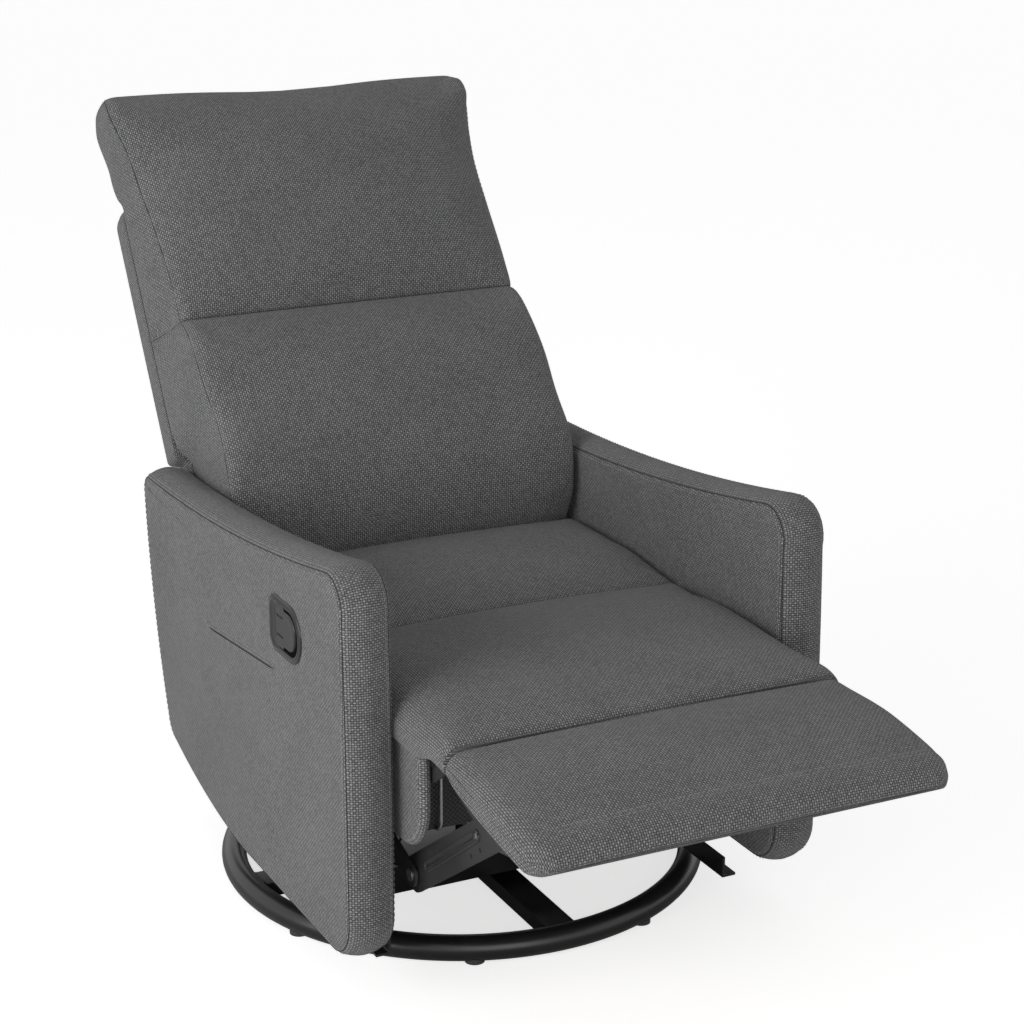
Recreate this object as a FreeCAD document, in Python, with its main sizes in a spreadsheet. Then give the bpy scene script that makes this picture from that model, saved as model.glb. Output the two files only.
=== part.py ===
import FreeCAD, Part
import math
import os
import re
import Sketcher

# A swivel rocker recliner with a pull handle in its right arm. Millimetres. The origin is on the
# floor on the swivel axis, Z is up and the sitter faces -Y, so the right hand is on the -X side.
# The chair is drawn with its footrest out and its back part way down.

os.makedirs("parts", exist_ok=True)
Vector = FreeCAD.Vector
doc = FreeCAD.newDocument("recliner")
sheet = doc.addObject("Spreadsheet::Sheet", "Sizes")

SIZES = [
    ("ring_radius", "316", "floor ring, to the middle of its tube"),
    ("tube_radius", "17", "floor ring tube"),
    ("glide_high", "1.5", "floor glide under the ring"),
    ("glide_radius", "13", "floor glide"),
    ("bar_wide", "40", "cross bar under the swivel"),
    ("bar_high", "20", "cross bar"),
    ("bar_low", "6", "cross bar above the floor"),
    ("lower_plate", "200", "square plate under the ball race"),
    ("plate_thick", "3", "swivel plates"),
    ("race_radius", "75", "ball race, to the ball centres"),
    ("race_half", "9", "ball race, half its width"),
    ("race_high", "4", "one race"),
    ("race_gap", "1", "between the races"),
    ("ball_radius", "3.2", "swivel ball"),
    ("stud_radius", "6", "swivel stud"),
    ("upper_wide", "260", "plate over the ball race, across"),
    ("upper_long", "300", "plate over the ball race, front to back"),
    ("angle_thick", "3.5", "angle iron"),
    ("rail_half", "300", "side rail, half its length"),
    ("rail_high", "29", "side rail"),
    ("rail_flange", "20", "side rail, across"),
    ("cross_flange", "32", "cross rail, front to back"),
    ("cross_high", "38", "cross rail"),
    ("rock_z", "120", "rocking axis above the floor"),
    ("spring_radius", "13", "rocker spring, to the wire centre"),
    ("wire_radius", "2", "rocker spring wire"),
    ("spring_pitch", "13", "rocker spring"),
    ("spring_x", "165", "rocker spring from the middle"),
    ("shelf_z", "132", "underside of the chassis cross angles"),
    ("steel", "4", "stamped steel plates and links"),
    ("link_gap", "2", "between two links"),
    ("pin_radius", "5", "link pins"),
    ("fit", "0.05", "running fit, radial"),
    ("seat_gap", "536", "between the arms"),
    ("arm_thick", "60", "arm across"),
    ("arm_crown", "10", "swell of the arm's band between its seams"),
    ("arm_front", "385", "arm, forward of the swivel axis"),
    ("arm_rear", "349", "arm, behind the swivel axis"),
    ("arm_top", "576", "arm top at the front"),
    ("arm_dip", "514", "arm top at the back"),
    ("arm_low", "72", "arm above the floor"),
    ("board_thick", "15", "board in the arm"),
    ("panel_clear", "8", "seat side panel to the arm"),
    ("panel_thick", "18", "seat side panel"),
    ("panel_low", "230", "underside of the seat side panel"),
    ("deck_z", "358", "underside of the seat cushion"),
    ("seat_crown", "62", "seat cushion at its middle"),
    ("seat_edge", "42", "seat cushion at its sides"),
    ("seam_y", "130", "seam across the seat, forward of the swivel axis"),
    ("guide_z", "260", "seat guide pins"),
    ("seat_slide", "65", "travel of the seat as the footrest folds"),
    ("hinge_y", "455", "footrest hinge, forward of the swivel axis"),
    ("hinge_z", "362", "footrest hinge"),
    ("crank_y", "123", "footrest crank, forward"),
    ("crank_z", "38", "footrest crank, down"),
    ("elbow_y", "353", "linkage elbow, forward of the swivel axis"),
    ("elbow_z", "172", "linkage elbow"),
    ("link_half", "23", "front link, half its width"),
    ("rear_half", "15", "rear link, half its width"),
    ("foot_slope", "6.5", "slope of the open footrest"),
    ("foot_long", "288", "footrest from its hinge to its front"),
    ("foot_half", "270", "footrest, half its width"),
    ("foot_low", "15", "footrest board above its hinge"),
    ("foot_thick", "40", "footrest pads at the middle"),
    ("calf_long", "60", "footrest hinge to the seam between its pads"),
    ("back_y", "175", "back hinge, behind the swivel axis"),
    ("back_z", "377", "back hinge"),
    ("recline", "31.5", "back from upright"),
    ("back_clear", "7", "back to the arm on each side"),
    ("back_wide", "279", "back above the arms, half its width"),
    ("back_step", "218", "start of the wide part of the back, up from its hinge"),
    ("crease_v", "380", "crease under the headrest, up from the back hinge"),
    ("shell_v", "588", "top of the outside back, up from the back hinge"),
    ("head_v", "744", "top of the headrest, up from the back hinge"),
    ("shell_w", "65", "front of the outside back, behind the back hinge"),
    ("shell_thick", "44", "outside back"),
    ("bezel_y", "203", "handle bezel, forward of the swivel axis"),
    ("bezel_z", "453", "handle bezel"),
    ("bezel_long", "103", "handle bezel"),
    ("bezel_high", "74", "handle bezel"),
    ("bezel_deep", "28", "handle cup"),
    ("cable_radius", "2.5", "release cable"),
    ("cable_x", "201", "release cable and its latch, from the middle"),
]
NAMES = [name for name, value, note in SIZES]
for row, (name, value, note) in enumerate(SIZES, 1):
    sheet.set("A%d" % row, note)
    sheet.set("B%d" % row, value)
    sheet.setAlias("B%d" % row, name)
doc.recompute()

# Levels and planes that several pieces share, as expressions of the sizes.
PLATE_Z = "(bar_low + bar_high + plate_thick)"
RACE_Z = "(bar_low + bar_high + plate_thick + 2*race_high + race_gap)"
RAIL_Z = "(bar_low + bar_high + 2*plate_thick + 2*race_high + race_gap)"
FLANGE_Z = "(bar_low + bar_high + 2*plate_thick + 2*race_high + race_gap + angle_thick)"
CROSS_Y = "(upper_long/2)"
PANEL_X = "(seat_gap/2 - panel_clear - panel_thick)"
PLATE_X = "(seat_gap/2 - panel_clear - panel_thick - steel)"
REAR_X = "(seat_gap/2 - panel_clear - panel_thick - link_gap - 2*steel)"
FRONT_X = "(seat_gap/2 - panel_clear - panel_thick - 2*link_gap - 3*steel)"
CHASSIS_X = "(seat_gap/2 - panel_clear - panel_thick - 2*link_gap - 7*steel)"
ROCKER_X = "(seat_gap/2 - panel_clear - panel_thick - 2*link_gap - 9.5*steel)"
RAIL_X = "(seat_gap/2 - 8 - rail_flange)"
ARM_X = "(seat_gap/2 + arm_thick)"
BACK_X = "(seat_gap/2 - back_clear)"
REAR_PIVOT = ("(crank_y - elbow_y)", "(elbow_z + crank_z)")
CRANK_PIN = ("(-hinge_y - crank_y)", "(hinge_z - crank_z)")

nodes = []


def words(text):
    """Write the sheet's name before each size in an expression."""
    def full(match):
        return "Sizes." + match.group() if match.group() in NAMES else match.group()
    return re.sub(r"[a-z_]+", full, str(text))


def size(text):
    """Value of an expression of sizes."""
    return float(sheet.evalExpression(words(text)))


def bind(item, **expressions):
    """Tie properties to expressions; a double underscore stands for a dot."""
    for path, text in expressions.items():
        item.setExpression(path.replace("__", "."), words(text))
    return item


def keep(item):
    """Mark a finished piece."""
    nodes.append(item)
    return item


def at(item, y, z, axis, angle):
    """Stand a piece made about its own hinge on the hinge at y, z, turned about the X axis."""
    item.Placement = FreeCAD.Placement(Vector(0, 0, 0), FreeCAD.Rotation(Vector(axis, 0, 0), 1))
    return bind(item, Placement__Base__y=y, Placement__Base__z=z, Placement__Rotation__Angle=angle)


def box(name, corner, lengths):
    """Box from its low corner."""
    solid = doc.addObject("Part::Box", name)
    bind(solid, Placement__Base__x=corner[0], Placement__Base__y=corner[1], Placement__Base__z=corner[2])
    return bind(solid, Length=lengths[0], Width=lengths[1], Height=lengths[2])


def cylinder(name, start, radius, length, along="z"):
    """Cylinder from the middle of its first end, along x or z."""
    solid = doc.addObject("Part::Cylinder", name)
    if along == "x":
        solid.Placement = FreeCAD.Placement(Vector(0, 0, 0), FreeCAD.Rotation(Vector(0, 1, 0), 90))
    bind(solid, Placement__Base__x=start[0], Placement__Base__y=start[1], Placement__Base__z=start[2])
    return bind(solid, Radius=radius, Height=length)


def cut(name, base, tool):
    """Base less tool."""
    result = doc.addObject("Part::Cut", name)
    result.Base = base
    result.Tool = tool
    return result


def fuse(name, *items):
    """Pieces joined into one."""
    result = doc.addObject("Part::MultiFuse", name)
    result.Shapes = list(items)
    return result


def group(name, *items):
    """Like pieces kept together."""
    result = doc.addObject("Part::Compound", name)
    result.Links = list(items)
    return result


def mirror(name, source, normal=(1, 0, 0)):
    """Opposite hand of a piece."""
    twin = doc.addObject("Part::Mirroring", name)
    twin.Source = source
    twin.Normal = Vector(*normal)
    return twin


def plane_sketch(body, plane, start):
    """Empty sketch on an origin plane of the body, moved along the plane's normal."""
    sketch = body.newObject("Sketcher::SketchObject", body.Name + "_sketch")
    origin = [feature for feature in body.Origin.OriginFeatures if feature.Role == plane + "_Plane"][0]
    sketch.AttachmentSupport = [(origin, "")]
    sketch.MapMode = "FlatFace"
    return bind(sketch, AttachmentOffset__Base__z=start)


def loop(sketch, points):
    """Closed run of straight lines through points given as pairs of expressions."""
    first = sketch.GeometryCount
    count = len(points)
    places = [Vector(size(u), size(v), 0) for u, v in points]
    for i in range(count):
        sketch.addGeometry(Part.LineSegment(places[i], places[(i + 1) % count]))
    for i in range(count):
        sketch.addConstraint(Sketcher.Constraint("Coincident", first + i, 2, first + (i + 1) % count, 1))
    for i, (u, v) in enumerate(points):
        for kind, text in (("DistanceX", u), ("DistanceY", v)):
            number = sketch.addConstraint(Sketcher.Constraint(kind, -1, 1, first + i, 1, size(text)))
            sketch.setExpression("Constraints[%d]" % number, words(text))


def hole(sketch, u, v, radius):
    """Round hole in an outline."""
    curve = sketch.addGeometry(Part.Circle(Vector(size(u), size(v), 0), Vector(0, 0, 1), size(radius)))
    rules = [("DistanceX", -1, 1, curve, 3, u), ("DistanceY", -1, 1, curve, 3, v),
             ("Radius", curve, radius)]
    for rule in rules:
        number = sketch.addConstraint(Sketcher.Constraint(*rule[:-1], size(rule[-1])))
        sketch.setExpression("Constraints[%d]" % number, words(rule[-1]))


def plate(name, plane, points, start, thick, rounds=(), holes=(), slots=()):
    """Flat piece: an outline in an origin plane, from start to start + thick along the third axis.

    rounds lists (corner number, radius); holes lists (u, v, radius); slots lists further outlines."""
    body = doc.addObject("PartDesign::Body", name)
    lift = "-(%s) - (%s)" % (start, thick) if plane == "XZ" else start
    sketch = plane_sketch(body, plane, lift)
    loop(sketch, points)
    for slot in slots:
        loop(sketch, slot)
    for u, v, radius in holes:
        hole(sketch, u, v, radius)
    pad = body.newObject("PartDesign::Pad", name + "_pad")
    pad.Profile = sketch
    bind(pad, Length=thick)
    sketch.Visibility = False
    for number, (corner, radius) in enumerate(rounds):
        doc.recompute()
        base = body.Tip
        spot = [size(text) for text in points[corner]]
        axes = {"XY": (0, 1), "XZ": (0, 2), "YZ": (1, 2)}[plane]
        edges = [
            "Edge%d" % (i + 1) for i, edge in enumerate(base.Shape.Edges)
            if all(abs(vertex.Point[axis] - value) < 1e-4
                   for vertex in edge.Vertexes for axis, value in zip(axes, spot))]
        fillet = body.newObject("PartDesign::Fillet", "%s_round%d" % (name, number))
        fillet.Base = (base, edges)
        bind(fillet, Radius=radius)
    return body


def link(name, x, start, vector, half, far_hole):
    """Straight link with round ends between two pins; vector points from the first to the second."""
    dy, dz = vector
    reach = "sqrt((%s)^2 + (%s)^2)" % (dy, dz)
    outline = [("-" + half, "-" + half), (reach + " + " + half, "-" + half),
               (reach + " + " + half, half), ("-" + half, half)]
    rounds = [(i, "0.97*" + half) for i in range(4)]
    body = plate(name, "YZ", outline, x, "steel", rounds,
                 [(0, 0, "pin_radius + fit"), (reach, 0, far_hole)])
    return at(body, start[0], start[1], 1, "atan2(%s; %s)" % (dz, dy))


def solid_loft(name, wires):
    """Padded piece through closed sections."""
    feature = doc.addObject("Part::Feature", name)
    feature.Shape = Part.makeLoft(wires, True, False)
    return feature


def wire(points, kinds):
    """Closed wire: 'line' uses the next point, 'arc' passes through the next point to the one after."""
    edges = []
    i = 0
    closed = points + points[:1]
    for kind in kinds:
        if kind == "line":
            edges.append(Part.makeLine(closed[i], closed[i + 1]))
            i += 1
        else:
            edges.append(Part.Arc(closed[i], closed[i + 1], closed[i + 2]).toShape())
            i += 2
    return Part.Wire(edges)


def pair(name, piece):
    """A piece and its opposite hand as one node."""
    return keep(group(name, piece, mirror(name + "_twin", piece)))


# Floor base: ring, cross bar, spokes, glides, ball race.
ring = doc.addObject("Part::Torus", "base_ring")
bind(ring, Radius1="ring_radius", Radius2="tube_radius", Placement__Base__z="glide_high + tube_radius")
keep(ring)
bar = box("bar_blank", ("-ring_radius", "-bar_wide/2", "bar_low"),
          ("2*ring_radius", "bar_wide", "bar_high"))
keep(cut("base_cross_bar", bar, ring))
spoke = box("spoke_blank", ("-bar_wide/2", "bar_wide/2", "bar_low"),
            ("bar_wide", "ring_radius - bar_wide/2", "bar_high"))
spoke = cut("spoke", spoke, ring)
keep(group("base_spokes", spoke, mirror("spoke_twin", spoke, (0, 1, 0))))

glides = []
for i in range(8):
    turn = 22.5 + 45*i
    middle = ("ring_radius*cos(%s)" % turn, "ring_radius*sin(%s)" % turn, 0)
    blank = cylinder("glide_blank%d" % i, middle, "glide_radius", "glide_high + tube_radius/3")
    glides.append(cut("glide%d" % i, blank, ring))
glides.append(cylinder("glide_middle", (0, 0, 0), "glide_radius", "bar_low"))
keep(group("floor_glides", *glides))

half_plate = "lower_plate/2"
square = [("-" + half_plate, "-" + half_plate), (half_plate, "-" + half_plate),
          (half_plate, half_plate), ("-" + half_plate, half_plate)]
corners = [(i, 12) for i in range(4)]
keep(plate("swivel_lower_plate", "XY", square, "bar_low + bar_high", "plate_thick", corners))


def race(name, low, ball_z):
    """Grooved ring, turned on the swivel axis."""
    body = doc.addObject("PartDesign::Body", name)
    outline = plane_sketch(body, "XZ", 0)
    inner = "race_radius - race_half"
    outer = "race_radius + race_half"
    high = low + " + race_high"
    loop(outline, [(inner, low), (outer, low), (outer, high), (inner, high)])
    turned = body.newObject("PartDesign::Revolution", name + "_turned")
    turned.Profile = outline
    turned.ReferenceAxis = (outline, ["V_Axis"])
    turned.Angle = 360
    round_sketch = plane_sketch(body, "XZ", 0)
    hole(round_sketch, "race_radius", ball_z, "ball_radius + 0.2")
    groove = body.newObject("PartDesign::Groove", name + "_groove")
    groove.Profile = round_sketch
    groove.ReferenceAxis = (round_sketch, ["V_Axis"])
    groove.Angle = 360
    return keep(body)


BALL_Z = PLATE_Z + " + race_high + race_gap/2"
race("swivel_race_lower", PLATE_Z, BALL_Z)
race("swivel_race_upper", PLATE_Z + " + race_high + race_gap", BALL_Z)
balls = []
for i in range(20):
    ball = doc.addObject("Part::Sphere", "ball%d" % i)
    bind(ball, Radius="ball_radius", Placement__Base__x="race_radius*cos(%d)" % (18*i),
         Placement__Base__y="race_radius*sin(%d)" % (18*i), Placement__Base__z=BALL_Z)
    balls.append(ball)
keep(group("swivel_balls", *balls))
stud_long = "plate_thick + 2*race_high + race_gap + 11"
keep(cylinder("swivel_stud", (0, 0, PLATE_Z), "stud_radius", stud_long))
nut = doc.addObject("Part::Prism", "nut_blank")
nut.Polygon = 6
bind(nut, Circumradius="1.8*stud_radius", Height=7, Placement__Base__z=RAIL_Z + " + 0.3")
keep(cut("swivel_nut", nut, nodes[-1]))

# Turning frame: upper plate, side rails, cross rails, rocker brackets, pins and springs.
wide, deep = "upper_wide/2", "upper_long/2"
field = [("-" + wide, "-" + deep), (wide, "-" + deep), (wide, deep), ("-" + wide, deep)]
keep(plate("swivel_upper_plate", "XY", field, RACE_Z, "plate_thick", corners,
           [(0, 0, "stud_radius + fit")]))

rail_out = RAIL_X + " + rail_flange"
rail_web = RAIL_X + " + angle_thick"
angle = [(RAIL_X, RAIL_Z), (rail_out, RAIL_Z), (rail_out, FLANGE_Z), (rail_web, FLANGE_Z),
         (rail_web, RAIL_Z + " + rail_high"), (RAIL_X, RAIL_Z + " + rail_high")]
rail = plate("rail_left", "XZ", angle, "-rail_half", "2*rail_half", [(3, 2)])
keep(rail)
keep(mirror("rail_right", rail))

flat = box("cross_flat", ("-" + RAIL_X, "-" + CROSS_Y, RAIL_Z),
           ("2*" + RAIL_X, "cross_flange", "angle_thick"))
web = box("cross_web", ("-" + CHASSIS_X, "-" + CROSS_Y, FLANGE_Z),
          ("2*" + CHASSIS_X, "angle_thick", "cross_high - angle_thick"))
cross = fuse("cross_rail_front", flat, web)
keep(cross)
keep(mirror("cross_rail_rear", cross, (0, 1, 0)))

foot_out = "(%s - angle_thick - 0.5)" % CROSS_Y
foot_in = "(%s - cross_flange)" % CROSS_Y
tent = [("-" + foot_in, FLANGE_Z), ("-60", FLANGE_Z + " + 22"), ("60", FLANGE_Z + " + 22"),
        (foot_in, FLANGE_Z), (foot_out, FLANGE_Z), (foot_out, FLANGE_Z + " + 12"), ("20", "rock_z + 18"),
        ("-20", "rock_z + 18"), ("-" + foot_out, FLANGE_Z + " + 12"), ("-" + foot_out, FLANGE_Z)]
bracket = plate("rocker_bracket", "YZ", tent, ROCKER_X, "steel", [(6, 14), (7, 14)],
                [(0, "rock_z", "stud_radius")])
pair("rocker_brackets", bracket)

shank = cylinder("rocker_shank", (ROCKER_X + " - 1", 0, "rock_z"), "stud_radius", "5.25*steel", "x")
head = cylinder("rocker_head", (ROCKER_X + " - 4", 0, "rock_z"), "2*stud_radius", 4, "x")
cap = cylinder("rocker_cap", (ROCKER_X + " + 5*steel", 0, "rock_z"), "1.8*stud_radius", 2, "x")
pair("rocker_pins", fuse("rocker_pin", shank, head, cap))


def spring(name):
    """Upright coil on the cross rail."""
    body = doc.addObject("PartDesign::Body", name)
    sketch = plane_sketch(body, "XZ", 0)
    hole(sketch, "spring_radius", "1.04*wire_radius", "wire_radius")
    coil = body.newObject("PartDesign::AdditiveHelix", name + "_coil")
    coil.Profile = sketch
    coil.ReferenceAxis = (sketch, ["V_Axis"])
    coil.Mode = 0
    bind(coil, Pitch="spring_pitch", Height="shelf_z - %s - 2.08*wire_radius" % FLANGE_Z)
    place = "%s - angle_thick - spring_radius - wire_radius - 0.6" % CROSS_Y
    return bind(body, Placement__Base__x="spring_x", Placement__Base__y="-(%s)" % place,
                Placement__Base__z=FLANGE_Z)


coil = spring("rocker_coil")
pair("rocker_springs_front", coil)
keep(group("rocker_springs_rear", mirror("coil_rear_left", coil, (0, 1, 0)),
           mirror("coil_rear_right", doc.getObject("rocker_springs_front_twin"), (0, 1, 0))))

# Rocking chassis: side plates, bushings, cross angles, arm mounts, guide pins.
low = "rock_z - 30"
high = "guide_z + 25"
side = [("-160", low), ("215", low), ("215", "rock_z + 70"), ("170", high), ("-95", high),
        ("-110", "rock_z + 65"), ("-160", "rock_z + 65")]
chassis = plate("chassis_plate", "YZ", side, CHASSIS_X, "steel",
                [(0, 25), (1, 25), (2, 20), (3, 20), (4, 20), (5, 8), (6, 15)],
                [(0, "rock_z", "1.6*stud_radius")])
pair("chassis_plates", chassis)
bush_start = (CHASSIS_X + " - 0.5*steel", 0, "rock_z")
sleeve = cylinder("bush_blank", bush_start, "1.6*stud_radius", "2*steel", "x")
bore = cylinder("bush_bore", bush_start, "stud_radius + fit", "2*steel", "x")
pair("rocker_bushings", cut("rocker_bushing", sleeve, bore))

shelf = box("chassis_shelf", ("-" + CHASSIS_X, "-" + CROSS_Y, "shelf_z"),
            ("2*" + CHASSIS_X, "cross_flange + 4", "angle_thick"))
shelf_end = "cross_flange + 4 - angle_thick - " + CROSS_Y
shelf_web = box("chassis_web", ("-" + CHASSIS_X, shelf_end, "shelf_z + angle_thick"),
                ("2*" + CHASSIS_X, "angle_thick", "rail_high"))
cross_angle = fuse("chassis_cross_front", shelf, shelf_web)
keep(cross_angle)
keep(mirror("chassis_cross_rear", cross_angle, (0, 1, 0)))

mounts = []
for name, middle in (("mount_front", -70), ("mount_rear", 150)):
    mounts.append(box(name, (CHASSIS_X + " + steel", middle - 20, "rock_z + 10"),
                      ("seat_gap/2 - %s - steel" % CHASSIS_X, 40, 40)))
pair("arm_mounts", group("arm_mount_side", *mounts))
pins = []
for name, middle in (("guide_front", -60), ("guide_rear", 130)):
    pins.append(cylinder(name, (CHASSIS_X + " + steel", middle, "guide_z"), "stud_radius",
                         PANEL_X + " - 0.5 - steel - " + CHASSIS_X, "x"))
pair("seat_guide_pins", group("guide_side", *pins))


# Arms: a board and a padded cover whose band swells between its two seams.
def arm_section(x, inset):
    """Side outline of an arm at x, drawn in by inset all round."""
    front, rear = -size("arm_front"), size("arm_rear")
    top, dip, foot = size("arm_top"), size("arm_dip"), size("arm_low")
    skew = 0.7*inset
    outline = [
        (rear - 34, dip - inset), (0, 0.74*dip + 0.26*top - inset), (front + 58, top - inset),
        (front + 15 + skew, top - 13 - skew), (front + inset, top - 61),
        (front - 4 + inset, (top + foot)/2), (front - 3 + inset, foot + 68),
        (front + 14 + skew, foot + 20 + skew), (front + 60, foot + inset),
        (-20, foot + inset),
        (115, foot + 18 + inset), (rear - 100 - inset/2, foot + 56 + 0.85*inset),
        (rear - 77 - skew, foot + 69 + skew), (rear - 64 - inset, foot + 96),
        (rear - 22 - inset, (dip + foot)/2 + 25), (rear - inset, dip - 32),
        (rear - 8 - skew, dip - 8 - skew)]
    kinds = ["arc", "arc", "arc", "arc", "line", "arc", "arc", "arc", "arc"]
    return wire([Vector(x, y, z) for y, z in outline], kinds)


inner, outer = size("seat_gap/2"), size(ARM_X)
swell = size("arm_crown")
arm = solid_loft("arm_cover", [
    arm_section(inner, swell), arm_section((inner + outer)/2, 0), arm_section(outer, swell)])
panel = [("60 - arm_front", "arm_low + 48"), ("arm_rear - 120", "arm_low + 92"),
         ("arm_rear - 60", "arm_dip - 110"), ("60 - arm_front", "arm_dip - 110")]
board = plate("arm_board", "YZ", panel, "seat_gap/2", "board_thick", [(0, 40), (1, 20), (2, 30), (3, 40)])
pair("arm_boards", board)
arm_left = cut("arm_pad_left", arm, board)
keep(arm_left)


def bezel_outline(inset):
    """Handle outline: round towards the front, squarer at the back."""
    fore = "-bezel_y - bezel_long/2 + %s" % inset
    aft = "bezel_long/2 - bezel_y - %s" % inset
    below = "bezel_z - bezel_high/2 + %s" % inset
    above = "bezel_z + bezel_high/2 - %s" % inset
    rounds = [(0, "bezel_high/2 - 2 - %s" % inset), (3, "bezel_high/2 - 2 - %s" % inset),
              (1, "bezel_high/4 - %s/2" % inset), (2, "bezel_high/4 - %s/2" % inset)]
    return [(fore, below), (aft, below), (aft, above), (fore, above)], rounds


outline, rounds = bezel_outline("0")
flange = plate("bezel_flange", "YZ", outline, "-%s - 4" % ARM_X, 4, rounds)
outline, rounds = bezel_outline("5")
cup = plate("bezel_cup", "YZ", outline, "-" + ARM_X, "bezel_deep", rounds)
outline, rounds = bezel_outline("8")
well = plate("bezel_well", "YZ", outline, "-%s - 4" % ARM_X, "bezel_deep + 1", rounds)
lever_x = "(3 - %s)" % ARM_X
lever_y = "(bezel_long/2 - bezel_y - 17)"
pin = cylinder("handle_pin", (lever_x, lever_y, "bezel_z - bezel_high/2 + 6.5"), 2, "bezel_high - 13")
bezel = cut("bezel_open", fuse("bezel_solid", flange, cup), well)
keep(cut("handle_bezel", bezel, pin))
keep(pin)

tip = "-bezel_y - bezel_long/2 + 21"
leaf_low = "bezel_z - bezel_high/2 + 13"
leaf_high = "bezel_z + bezel_high/2 - 13"
leaf_outline = [(tip, leaf_low), (lever_y, leaf_low), (lever_y, leaf_high), (tip, leaf_high)]
leaf = plate("lever_leaf", "YZ", leaf_outline, "-" + ARM_X, 6,
             [(0, "bezel_high/3.5"), (3, "bezel_high/3.5")])
barrel = cylinder("lever_barrel", (lever_x, lever_y, leaf_low), 4.5, "bezel_high - 26")
lever_bore = cylinder("lever_bore", (lever_x, lever_y, leaf_low), "2 + fit", "bezel_high - 26")
keep(cut("handle_lever", fuse("lever_solid", leaf, barrel), lever_bore))

# The right arm is the other hand of the left one, opened for the handle cup and the side pocket.
pocket = [(90, "arm_dip - 158"), (90, "arm_dip - 147"), (-165, "arm_dip - 121"), (-165, "arm_dip - 132")]
mouth = plate("pocket_mouth", "YZ", pocket, "-" + ARM_X, 16)
arm_right = mirror("arm_right_blank", arm_left)
keep(cut("arm_pad_right", cut("arm_right_cup", arm_right, cup), mouth))

# Seat: mechanism plates, side panels, rails, deck, webbing, dust cover, bar, latch, cable and pins.
mech = [("crank_y - elbow_y - 20", "elbow_z + crank_z - 18"),
        ("crank_y - elbow_y + 20", "elbow_z + crank_z - 18"),
        ("crank_y - elbow_y + 55", "guide_z - 26"), ("back_y - 30", "guide_z - 26"),
        ("back_y + 13", "back_z - 20"), ("back_y + 13", "back_z + 13"), ("back_y - 13", "back_z + 13"),
        ("back_y - 42", "guide_z + 40"), ("133 - hinge_y", "guide_z + 40"), ("12 - hinge_y", "hinge_z - 12"),
        ("-hinge_y", "hinge_z + 13"), ("-hinge_y - 13", "hinge_z + 13"),
        ("-hinge_y - 13", "hinge_z - 13"), ("118 - hinge_y", "guide_z + 2")]
slots = []
for middle in (-60, 130):
    near = "%d - seat_slide - stud_radius - 0.3" % middle
    far = "%d + stud_radius + 0.3" % middle
    slots.append([(near, "guide_z - stud_radius - 0.3"), (far, "guide_z - stud_radius - 0.3"),
                  (far, "guide_z + stud_radius + 0.3"), (near, "guide_z + stud_radius + 0.3")])
mech_plate = plate("seat_plate", "YZ", mech, PLATE_X, "steel",
                   [(0, 14), (1, 14), (3, 20), (5, 11), (6, 11), (7, 20), (8, 20), (11, 11), (12, 11)],
                   [REAR_PIVOT + ("pin_radius",), ("-hinge_y", "hinge_z", "pin_radius"),
                    ("back_y", "back_z", "pin_radius")], slots)
pair("seat_plates", mech_plate)

skirt = [("5 - hinge_y", "panel_low"), ("back_y - 38", "panel_low"), ("back_y - 38", "deck_z"),
         ("5 - hinge_y", "deck_z")]
side_panel = plate("seat_panel_left", "YZ", skirt, PANEL_X, "panel_thick", [(0, 75), (1, 40)])
keep(side_panel)
keep(mirror("seat_panel_right", side_panel))

span = "2*" + PLATE_X
front_y = "(100 - hinge_y)"
keep(box("seat_front_rail", ("-" + PLATE_X, front_y, "deck_z - 96"), (span, 22, 94)))
keep(box("seat_rear_rail", ("-" + PLATE_X, "back_y - 60", "deck_z - 58"), (span, 22, 56)))
deck_half = "(%s - 5)" % REAR_X
keep(box("seat_deck", ("-" + deck_half, "16 - hinge_y", "deck_z - 14"), ("2*" + deck_half, 84, 14)))
straps = []
for i in range(6):
    middle = "%s*(%g)" % (PLATE_X, (i - 2.5)/3)
    straps.append(box("strap%d" % i, (middle + " - 24", front_y, "deck_z - 2"),
                      (48, "back_y - 38 - " + front_y, 2)))
keep(group("seat_webbing", *straps))

cover_half = "(%s - 3)" % FRONT_X
hang = box("cover_front", ("-" + cover_half, front_y + " - 2", "panel_low + 2"),
           ("2*" + cover_half, 2, "deck_z - panel_low - 16"))
floor = box("cover_floor", ("-" + cover_half, front_y, "panel_low + 2"), ("2*" + cover_half, 88, 2))
clip = box("cover_clip", ("-cable_x - 7", front_y + " + 43", "panel_low - 8"), (14, 14, 10))
keep(fuse("dust_cover", hang, floor, clip))
keep(cylinder("seat_bar", ("-" + PLATE_X, "128 - hinge_y", "guide_z - 15"), 10, span, "x"))
keep(box("latch_box", ("-cable_x - 15", front_y + " - 20", "deck_z - 44"), (30, 18, 30)))


def cable_path():
    """Down from the latch box, round under the cover and back to its clip."""
    x = -size("cable_x")
    y = size(front_y) - 13
    top = size("deck_z") - 44
    run = size("panel_low") - 3
    bend = 16
    down = Part.makeLine(Vector(x, y, top), Vector(x, y, run + bend))
    middle = Vector(x, y + bend*(1 - math.sqrt(0.5)), run + bend*(1 - math.sqrt(0.5)))
    turn = Part.Arc(Vector(x, y, run + bend), middle, Vector(x, y + bend, run)).toShape()
    along = Part.makeLine(Vector(x, y + bend, run), Vector(x, y + bend + 40, run))
    return Part.Wire([down, turn, along])


path = cable_path()
start = path.Edges[0].Vertexes[0].Point
ring_end = Part.Wire([Part.makeCircle(size("cable_radius"), start, Vector(0, 0, -1))])
cable = doc.addObject("Part::Feature", "release_cable")
cable.Shape = path.makePipeShell([ring_end], True, True)
keep(cable)



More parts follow.
